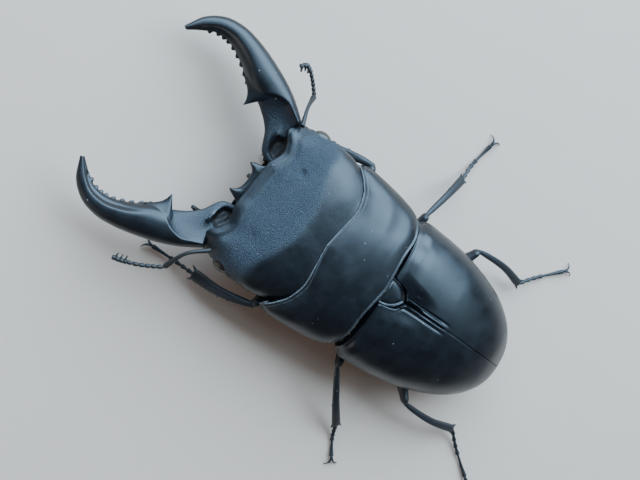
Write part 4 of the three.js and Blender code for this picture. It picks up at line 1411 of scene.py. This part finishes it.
def labrum_plate():
    """A plate under the forehead's edge with two forward horns, rounded on top."""
    w, horn_x, horn, bay = 3.9, 2.65, 2.7, 1.3
    right = [
        (1.6, bay + 0.15), (horn_x - 0.3, horn - 0.5), (horn_x, horn),
        (horn_x + 0.25, horn - 0.2), (3.4, 1.2), (w, 0),
    ]
    left = [(-place, reach) for place, reach in reversed(right)]
    front = through(*left, (0, bay - 0.05), *right)
    steps, sides = 100, 36
    x = np.linspace(-w + 0.02, w - 0.02, steps)
    angle = np.linspace(0, 2 * math.pi, sides, endpoint=False)
    reach = front(x) + 1.2
    thick = LABRUM_THICKNESS / 2 * (1 - 0.35 * ramp(np.abs(x), 2.2, w))
    thick = thick * (0.75 + 0.25 * bay / np.maximum(reach, bay))
    y, z = section(angle[None], reach[:, None] / 2, thick[:, None], thick[:, None], 3)
    y = y + (reach[:, None] / 2 - 1.2)
    rings = np.stack(
        [x[:, None] * np.ones(sides), -(LABRUM_Y + y), LABRUM_Z + LABRUM_THICKNESS / 2 + z], axis=-1
    )
    return skin(rings)


def beaded(path, waist, radius, joints, sides=16):
    """A jointed feeler: each joint swells towards its end."""
    t = np.linspace(0, 1, len(path))
    s = t * joints % 1
    swell = np.where(t >= 1, 0.5, np.sin(math.pi * np.minimum(s * 0.9 + 0.05, 1)) ** 0.6)
    thick = lerp(waist, radius, swell)
    thick[0], thick[-1] = thick[0] * 0.5, thick[-1] * 0.5
    return tube(path, thick, thick, sides=sides)


class MakeFace(bpy.types.Operator):
    """Make the labrum, the chin plate and the palps"""

    bl_idname = "beetle.face"
    bl_label = "Face"

    def execute(self, context):
        shape = labrum_plate().told(HEAD)
        finish_piece("labrum_horned", shape, "mandible shell", "labrum")
        shape = ellipsoid(CHIN_PLACE, CHIN_RADII, sides=48).told(HEAD)
        finish_piece("chin_plate", shape, "underside shell", "mentum")
        for kind, palps in (("maxillary", MAXILLARY), ("labial", LABIAL)):
            for name, knots in palps.items():
                shape = beaded(spline(knots, 60), PALP_WAIST, PALP_RADIUS, PALP_JOINTS).told(BEETLE)
                piece, node = f"{kind}_palp_jointed_{name}", f"{kind}_palp_{name}"
                finish_piece(piece, shape, "feeler shell", node)
        return {"FINISHED"}


# ------------------------------------------------------------ antennae


class MakeAntennae(bpy.types.Operator):
    """Make the two antennae: scape, beaded whip and leafed club"""

    bl_idname = "beetle.antennae"
    bl_label = "Antennae"

    def execute(self, context):
        for name in SIDES:
            self.scape(name)
            self.whip(name)
            self.club(name)
        return {"FINISHED"}

    def scape(self, name):
        t = np.linspace(0, 1, 60)
        thick = lerp(FEELER_SCAPE, FEELER_KNOB, t**2) * (0.86 + 0.14 * np.cos(6 * t))
        thick *= np.minimum(1, 4 * np.sqrt(np.clip(1.01 - t, 0, 1)))
        shape = tube(spline(FEELERS[name]["scape"], 60), thick, thick).told(BEETLE)
        node = f"antenna_{name}_scape"
        finish_piece(f"feeler_scape_{name}", shape, "feeler shell", node)

    def whip(self, name):
        knots = FEELERS[name]["whip"]
        path = spline(knots, 4 * FEELER_BEADS + 1)
        step = np.linalg.norm(path[4] - path[0])
        feet = path[:-1:4]
        lie = unit(path[4::4] - feet)
        s = np.linspace(0, 1, 14)
        swell = 0.55 + 0.45 * np.sin(math.pi * s * 0.8) ** 0.8
        swell[0], swell[-1] = 0.3, 0.5
        bead = tube(np.stack([0 * s, 0 * s, s], 1), swell, swell, (0, 1, 0), 14)
        size = np.tile((FEELER_BEAD, FEELER_BEAD, step * 1.05), (len(feet), 1))
        obj = set_out(
            f"feeler_beads_{name}", told(feet, BEETLE), lie, size, bead, finish("feeler shell")
        )
        settle(obj, f"antenna_{name}_flagellum")

    def club(self, name):
        path = spline(FEELERS[name]["club"], 40)
        way = unit(np.array(FEELERS[name]["leaves"], float))
        parts = [beaded(path, FEELER_CLUB * 0.7, FEELER_CLUB, 4)]
        for t in (0.22, 0.5, 0.8):
            k = int(t * (len(path) - 1))
            flat = unit(path[k + 1] - path[k - 1])
            s = np.linspace(0, 1, 16)
            leaf = path[k] + way * (FEELER_LEAF * s[:, None])
            width = 0.42 * np.sqrt(np.clip(1.03 - s**3, 0, 1))
            parts.append(tube(leaf, width, 0.2 * (1.05 - 0.5 * s), flat, 16))
        shape = fused(parts, 0.05, 3).told(BEETLE)
        node = f"antenna_{name}_club"
        finish_piece(f"feeler_club_{name}", shape, "feeler shell", node)


# ------------------------------------------------------------ legs


def rounded_ends(t, start, end):
    """1 along a limb, falling in a quarter round to 0 over its first and last stretch."""
    first = np.clip((start - t) / start, 0, 1)
    last = np.clip((t - 1 + end) / end, 0, 1)
    return np.sqrt(np.maximum(1 - first**2, 0)) * np.sqrt(np.maximum(1 - last**2, 0)) + 0.02


def femur(coxa, knee, radius):
    start = lerp(coxa, knee, 0.16)
    beyond = knee + unit(knee - start) * 0.3 * radius
    t = 0.5 - 0.5 * np.cos(math.pi * np.linspace(0, 1, 80))
    path = lerp(start, beyond, t[:, None])
    profile = through((0, 0.5), (0.14, 0.66), (0.38, 1), (0.62, 0.96), (0.86, 0.7), (1, 0.62))
    thick = radius * profile(t) * rounded_ends(t, 0.04, 0.09)
    limb = tube(path, 0.72 * thick, thick, sides=32)
    hip = ellipsoid(lerp(coxa, knee, 0.17), (radius * 0.6,) * 3, sides=24)
    return fused([limb, hip], 0.1, 2)


def tibia_path(knee, ankle, side):
    """From inside the femur's end, over a low arch, to the ankle."""
    start = lerp(knee, ankle, 0.035) + (side * 0.25, 0, 0.1)
    middle = lerp(start, ankle, 0.5) + (side * TIBIA_ARCH, 0, TIBIA_ARCH)
    return spline([lerp(knee, ankle, -0.02), start, middle, ankle], 110)


def tibia(kind, knee, ankle, side, radius, thin):
    path = tibia_path(knee, ankle, side)
    t = np.linspace(0, 1, len(path))
    profile = through((0, 0.55), (0.05, 0.54), (0.16, 0.66), (0.6, 0.86), (0.92, 1), (1, 0.84))
    thick = profile(t) * rounded_ends(t, 0.03, 0.03)
    along = unit(np.gradient(path, axis=0))
    across = unit(np.cross((0, 0, 1), along))
    up = np.cross(along, across)
    angle = np.linspace(0, 2 * math.pi, 36, endpoint=False)
    groove = 0.34 * hill(angle, math.pi / 2, 0.42) - 0.06 * np.cos(4 * angle)
    groove = groove * ramp(t, 0.14, 0.4)[:, None] * (1 if kind == "fore" else 0.5)
    wide = (radius * thick)[:, None] * np.cos(angle)
    deep = (thin * thick)[:, None] * np.sin(angle) * (1 - groove)
    rings = path[:, None] + wide[..., None] * across[:, None] + deep[..., None] * up[:, None]
    parts = [skin(rings)]
    outward = unit(np.cross((0, 0, 1), ankle - knee))
    outward = outward if outward[0] * side > 0 else -outward

    def at(share):
        k = min(int(share * (len(path) - 1)), len(path) - 2)
        return path[k], unit(path[k + 1] - path[k - 1])

    for share in TIBIA_SPINES[kind]:
        place, way = at(share)
        foot = place + outward * 0.55 * radius * float(profile(share))
        tip = foot + outward * 0.62 * radius + way * 0.5
        parts.append(cone(foot, tip, THORN_RADIUS, flare=0.9))
    end, way = at(0.96)
    for turn in (1, -1):
        aside = outward * turn * radius
        tip = end + aside * (0.5 + SPUR_REACH) + way * (0.5 + SPUR_LENGTH)
        parts.append(cone(end + aside * 0.5, tip, SPUR_RADIUS, bend=aside * 0.12, flare=0.9))
    return fused(parts, 0.08, 2)


def tarsus_path(ankle, claw, count=180):
    start = ankle - unit(claw - ankle) * (0.2, 0.2, 0)
    lying, far = lerp(ankle, claw, 0.34), lerp(ankle, claw, 0.68)
    lying[2], far[2] = TARSUS_SAG + 0.35, TARSUS_SAG
    return spline([start, lying, far, claw], count)


def tarsus(ankle, claw):
    path = tarsus_path(ankle, claw)
    t = np.linspace(0, 1, len(path))
    joints = np.array(FOOT_JOINTS)
    i = np.clip(np.searchsorted(joints, t, side="right") - 1, 0, len(joints) - 2)
    s = (t - joints[i]) / (joints[i + 1] - joints[i])
    flared = np.where(i == len(joints) - 2, s**1.7, s**1.15)
    thick = lerp(TARSUS_WAIST * 0.8, TARSUS_RADIUS * 0.98, flared)
    thick *= np.where(s > 0.92, 1 - 0.55 * ramp(s, 0.92, 1.0), 1)
    thick[-1] *= 0.6
    return tube(path, thick, thick * 0.92, sides=18)


def claws(ankle, claw):
    """Two hooks that curl apart and down to the floor, and a short rod between them."""
    heading = unit((claw - ankle) * (1, 1, 0))
    aside = np.array([-heading[1], heading[0], 0])
    start = claw + heading * 0.05
    hooks = []
    for turn in (1, -1):
        middle = start + heading * (0.8 * CLAW_LENGTH) + aside * (turn * 0.2 * CLAW_LENGTH)
        tip = start + heading * (0.72 * CLAW_LENGTH) + aside * (turn * 0.75 * CLAW_LENGTH)
        middle[2], tip[2] = CLAW_RISE, 0.05
        w = np.linspace(0, 1, 28)[:, None]
        path = (1 - w) ** 2 * start + 2 * w * (1 - w) * middle + w * w * tip
        thick = lerp(CLAW_RADIUS * 0.95, 0.07, w[:, 0] ** 0.85)
        hooks.append(tube(path, thick * 0.8, thick, sides=14))
    rod = cone(start, start + heading * 0.7 + (0, 0, -0.12), 0.11, 8, 6)
    return fused([*hooks, rod], 0.05, 2)


class MakeLegs(bpy.types.Operator):
    """Make the six legs"""

    bl_idname = "beetle.legs"
    bl_label = "Legs"

    def execute(self, context):
        for name, (coxa, knee, ankle, claw) in LEGS.items():
            kind = name.split("_")[0]
            side = math.copysign(1, knee[0])
            coxa_radii, femur_radius, tibia_radius, tibia_thin = LEG_RADII[kind]
            coxa, knee, ankle = (np.array(p, float) for p in (coxa, knee, ankle))
            claw = np.array([*claw, CLAW_HEIGHT])
            turn = math.atan2(knee[1] - coxa[1], knee[0] - coxa[0])
            shapes = {
                "coxa": ellipsoid(coxa, coxa_radii, turn, 44),
                "femur": femur(coxa, knee, femur_radius),
                "tibia": tibia(kind, knee, ankle, side, tibia_radius, tibia_thin),
                "tarsus": tarsus(ankle, claw),
                "claws": claws(ankle, claw),
            }
            for part, shape in shapes.items():
                shape.points[:, 2] = np.maximum(shape.points[:, 2], 0.0)
                piece = f"{name}_{part}"
                finish_piece(piece, shape.told(BEETLE), "leg shell", f"leg_{piece}")
        return {"FINISHED"}


# ------------------------------------------------------------ bristles


BRISTLES, BRISTLE_RADIUS = 120, 0.016


def fringe_roots(count, rng):
    """Roots along the pronotum's rear margin, with their lie and their place round it."""
    x = rng.uniform(-0.86, 0.86, count) * THORAX_HALF_WIDTH
    u = np.abs(x) / THORAX_HALF_WIDTH
    w = THORAX_HALF_WIDTH * thorax_half_width(0.3)
    up = thorax_top(0.0) - THORAX_SEAM
    z = THORAX_SEAM + up * (1 - (np.abs(x) / w) ** THORAX_SQUARENESS) ** (1 / THORAX_SQUARENESS)
    y = -thorax_rear(u) - 0.02
    lie = np.stack([0.25 * np.sign(x) * u, np.ones(count), -0.25 + 0 * x], axis=1)
    return np.stack([x, y, z - 0.25], axis=1), lie, x


class MakeBristles(bpy.types.Operator):
    """Make the golden fringe behind the pronotum"""

    bl_idname = "beetle.bristles"
    bl_label = "Bristles"

    def execute(self, context):
        sizes = context.scene.beetle_sizes
        rng = np.random.default_rng(7)
        hair = bristle()
        roots, lie, x = fringe_roots(BRISTLES, rng)
        long = sizes.fringe / MM * rng.uniform(0.6, 1.15, len(roots))
        thick = np.full(len(roots), BRISTLE_RADIUS)
        size = np.stack([thick, thick, long], axis=1)
        obj = set_out(
            "pronotum_fringe", told(roots, THORAX), turned(lie, THORAX), size, hair,
            finish("golden bristles"), spread=0.28, seed=4,
        )
        places = np.stack([0.5 + x / THORAX_HALF_WIDTH * 0.25, np.full(len(x), 0.05)], axis=1)
        bake_map(obj, len(hair.points), places)
        settle(obj)
        return {"FINISHED"}


# ------------------------------------------------------------ stage


CAMERA_PLACE = (4.8549, -81.0716, 199.6132)  # from the scutellum's foot on the floor
CAMERA_TILT = 20.0
CAMERA_TURN = 36.5
BODY_TWIST, BODY_ROLL = 2.11, -2.5
CAMERA_LENS = 68.4


def camera_axes():
    """Right, up and backward axes of the camera, which looks down and back at the beetle."""
    tilt, turn = math.radians(CAMERA_TILT), math.radians(CAMERA_TURN)
    look = Vector((0, math.sin(tilt), -math.cos(tilt)))
    ahead = Vector((0, math.cos(tilt), math.sin(tilt)))
    aside = Vector((1, 0, 0))
    right = math.cos(turn) * ahead - math.sin(turn) * aside
    down = math.sin(turn) * ahead + math.cos(turn) * aside
    twist = Matrix.Rotation(math.radians(BODY_TWIST), 3, "Z")
    roll = Matrix.Rotation(math.radians(BODY_ROLL), 3, "Y")
    back = (twist @ roll).transposed()
    return back @ right, back @ -down, back @ -look


# Name, place, aim, width and height, power and tint of each light.
AREA_LIGHTS = (
    ("sky", (-0.4, -0.18, 0.325), (-0.115, -0.18, 0), (1.04, 0.53), 17.5, (0.46, 0.72, 1.0)),
    ("zenith", (-0.38, 0.5, 0.6), (-0.38, 0.5, 0), (0.56, 1.4), 4.0, (0.5, 0.78, 1.0)),
    ("fill", (0.4, -0.3, 0.22), (0, 0, 0.01), (0.3, 0.3), 0.3, (1.0, 0.95, 0.9)),
)
WORLD_TINT, WORLD_STRENGTH = (0.78, 0.86, 1.0, 1), 0.12
SENSOR_WIDTH = 36


def area_light(name, place, aim, size, power, tint):
    light = bpy.data.lights.new(name, "AREA")
    light.shape = "RECTANGLE"
    light.size, light.size_y = size
    light.energy = power
    light.color = tint
    obj = linked(name, light)
    obj.location = place
    obj.rotation_mode = "QUATERNION"
    obj.rotation_quaternion = (Vector(aim) - Vector(place)).to_track_quat("-Z", "Y")


class MakeStage(bpy.types.Operator):
    """Make the pale floor, the soft light and the camera"""

    bl_idname = "beetle.stage"
    bl_label = "Stage"

    def execute(self, context):
        scene = context.scene
        half = scene.beetle_sizes.floor / 2
        mesh = bpy.data.meshes.new("floor")
        corners = [(-half, -half, 0), (half, -half, 0), (half, half, 0), (-half, half, 0)]
        mesh.from_pydata(corners, [], [(0, 1, 2, 3)])
        material = bpy.data.materials.new("pale floor")
        material.use_nodes = True
        n = Nodes(material.node_tree)
        principled = material.node_tree.nodes["Principled BSDF"]
        place = n.add("ShaderNodeTexCoord").outputs["Object"]
        mottle = n.noise(place, 60.0, 5.0)
        pale = scene.beetle_colours.floor
        darker = rgba([part * 0.97 for part in pale])
        n.feed(n.mix(mottle, darker, rgba(pale)), principled.inputs["Base Color"])
        principled.inputs["Roughness"].default_value = 0.85
        mesh.materials.append(material)
        floor = linked("floor", mesh)

        for light in AREA_LIGHTS:
            area_light(*light)
        world = bpy.data.worlds.new("soft studio")
        world.use_nodes = True
        background = world.node_tree.nodes["Background"]
        background.inputs["Color"].default_value = WORLD_TINT
        background.inputs["Strength"].default_value = WORLD_STRENGTH
        scene.world = world

        camera = linked("camera", bpy.data.cameras.new("camera"))
        camera.data.sensor_width = SENSOR_WIDTH
        camera.data.lens = CAMERA_LENS
        camera.data.clip_start = 0.01
        right, up, back = camera_axes()
        turn = Matrix((right, up, back)).transposed().to_4x4()
        spot = (Vector(CAMERA_PLACE) + Vector(ORIGIN_SHIFT)) * MM
        camera.matrix_world = Matrix.Translation(spot) @ turn
        scene.camera = camera
        return {"FINISHED"}


# ------------------------------------------------------------ the add-on

PIECE_OPERATORS = (
    MakeWingCases,
    MakeUnderside,
    MakeProthorax,
    MakeHead,
    MakeMandibles,
    MakeFace,
    MakeAntennae,
    MakeLegs,
    MakeBristles,
    MakeStage,
)


class BeetlePanel(bpy.types.Panel):
    """Pieces, sizes and colours of the beetle"""

    bl_idname = "VIEW3D_PT_beetle"
    bl_label = "Stag beetle"
    bl_space_type = "VIEW_3D"
    bl_region_type = "UI"
    bl_category = "Beetle"

    def draw(self, context):
        for operator in PIECE_OPERATORS:
            self.layout.operator(operator.bl_idname)
        for group in (context.scene.beetle_sizes, context.scene.beetle_colours):
            box = self.layout.box()
            for key in group.__annotations__:
                box.prop(group, key)


CLASSES = (BeetleSizes, BeetleColours, *PIECE_OPERATORS, BeetlePanel)


def register():
    for item in CLASSES:
        bpy.utils.register_class(item)
    bpy.types.Scene.beetle_sizes = bpy.props.PointerProperty(type=BeetleSizes)
    bpy.types.Scene.beetle_colours = bpy.props.PointerProperty(type=BeetleColours)


def unregister():
    del bpy.types.Scene.beetle_sizes
    del bpy.types.Scene.beetle_colours
    for item in reversed(CLASSES):
        bpy.utils.unregister_class(item)


def main():
    register()
    for operator in PIECE_OPERATORS:
        group, name = operator.bl_idname.split(".")
        getattr(getattr(bpy.ops, group), name)()


if __name__ == "__main__":
    main()
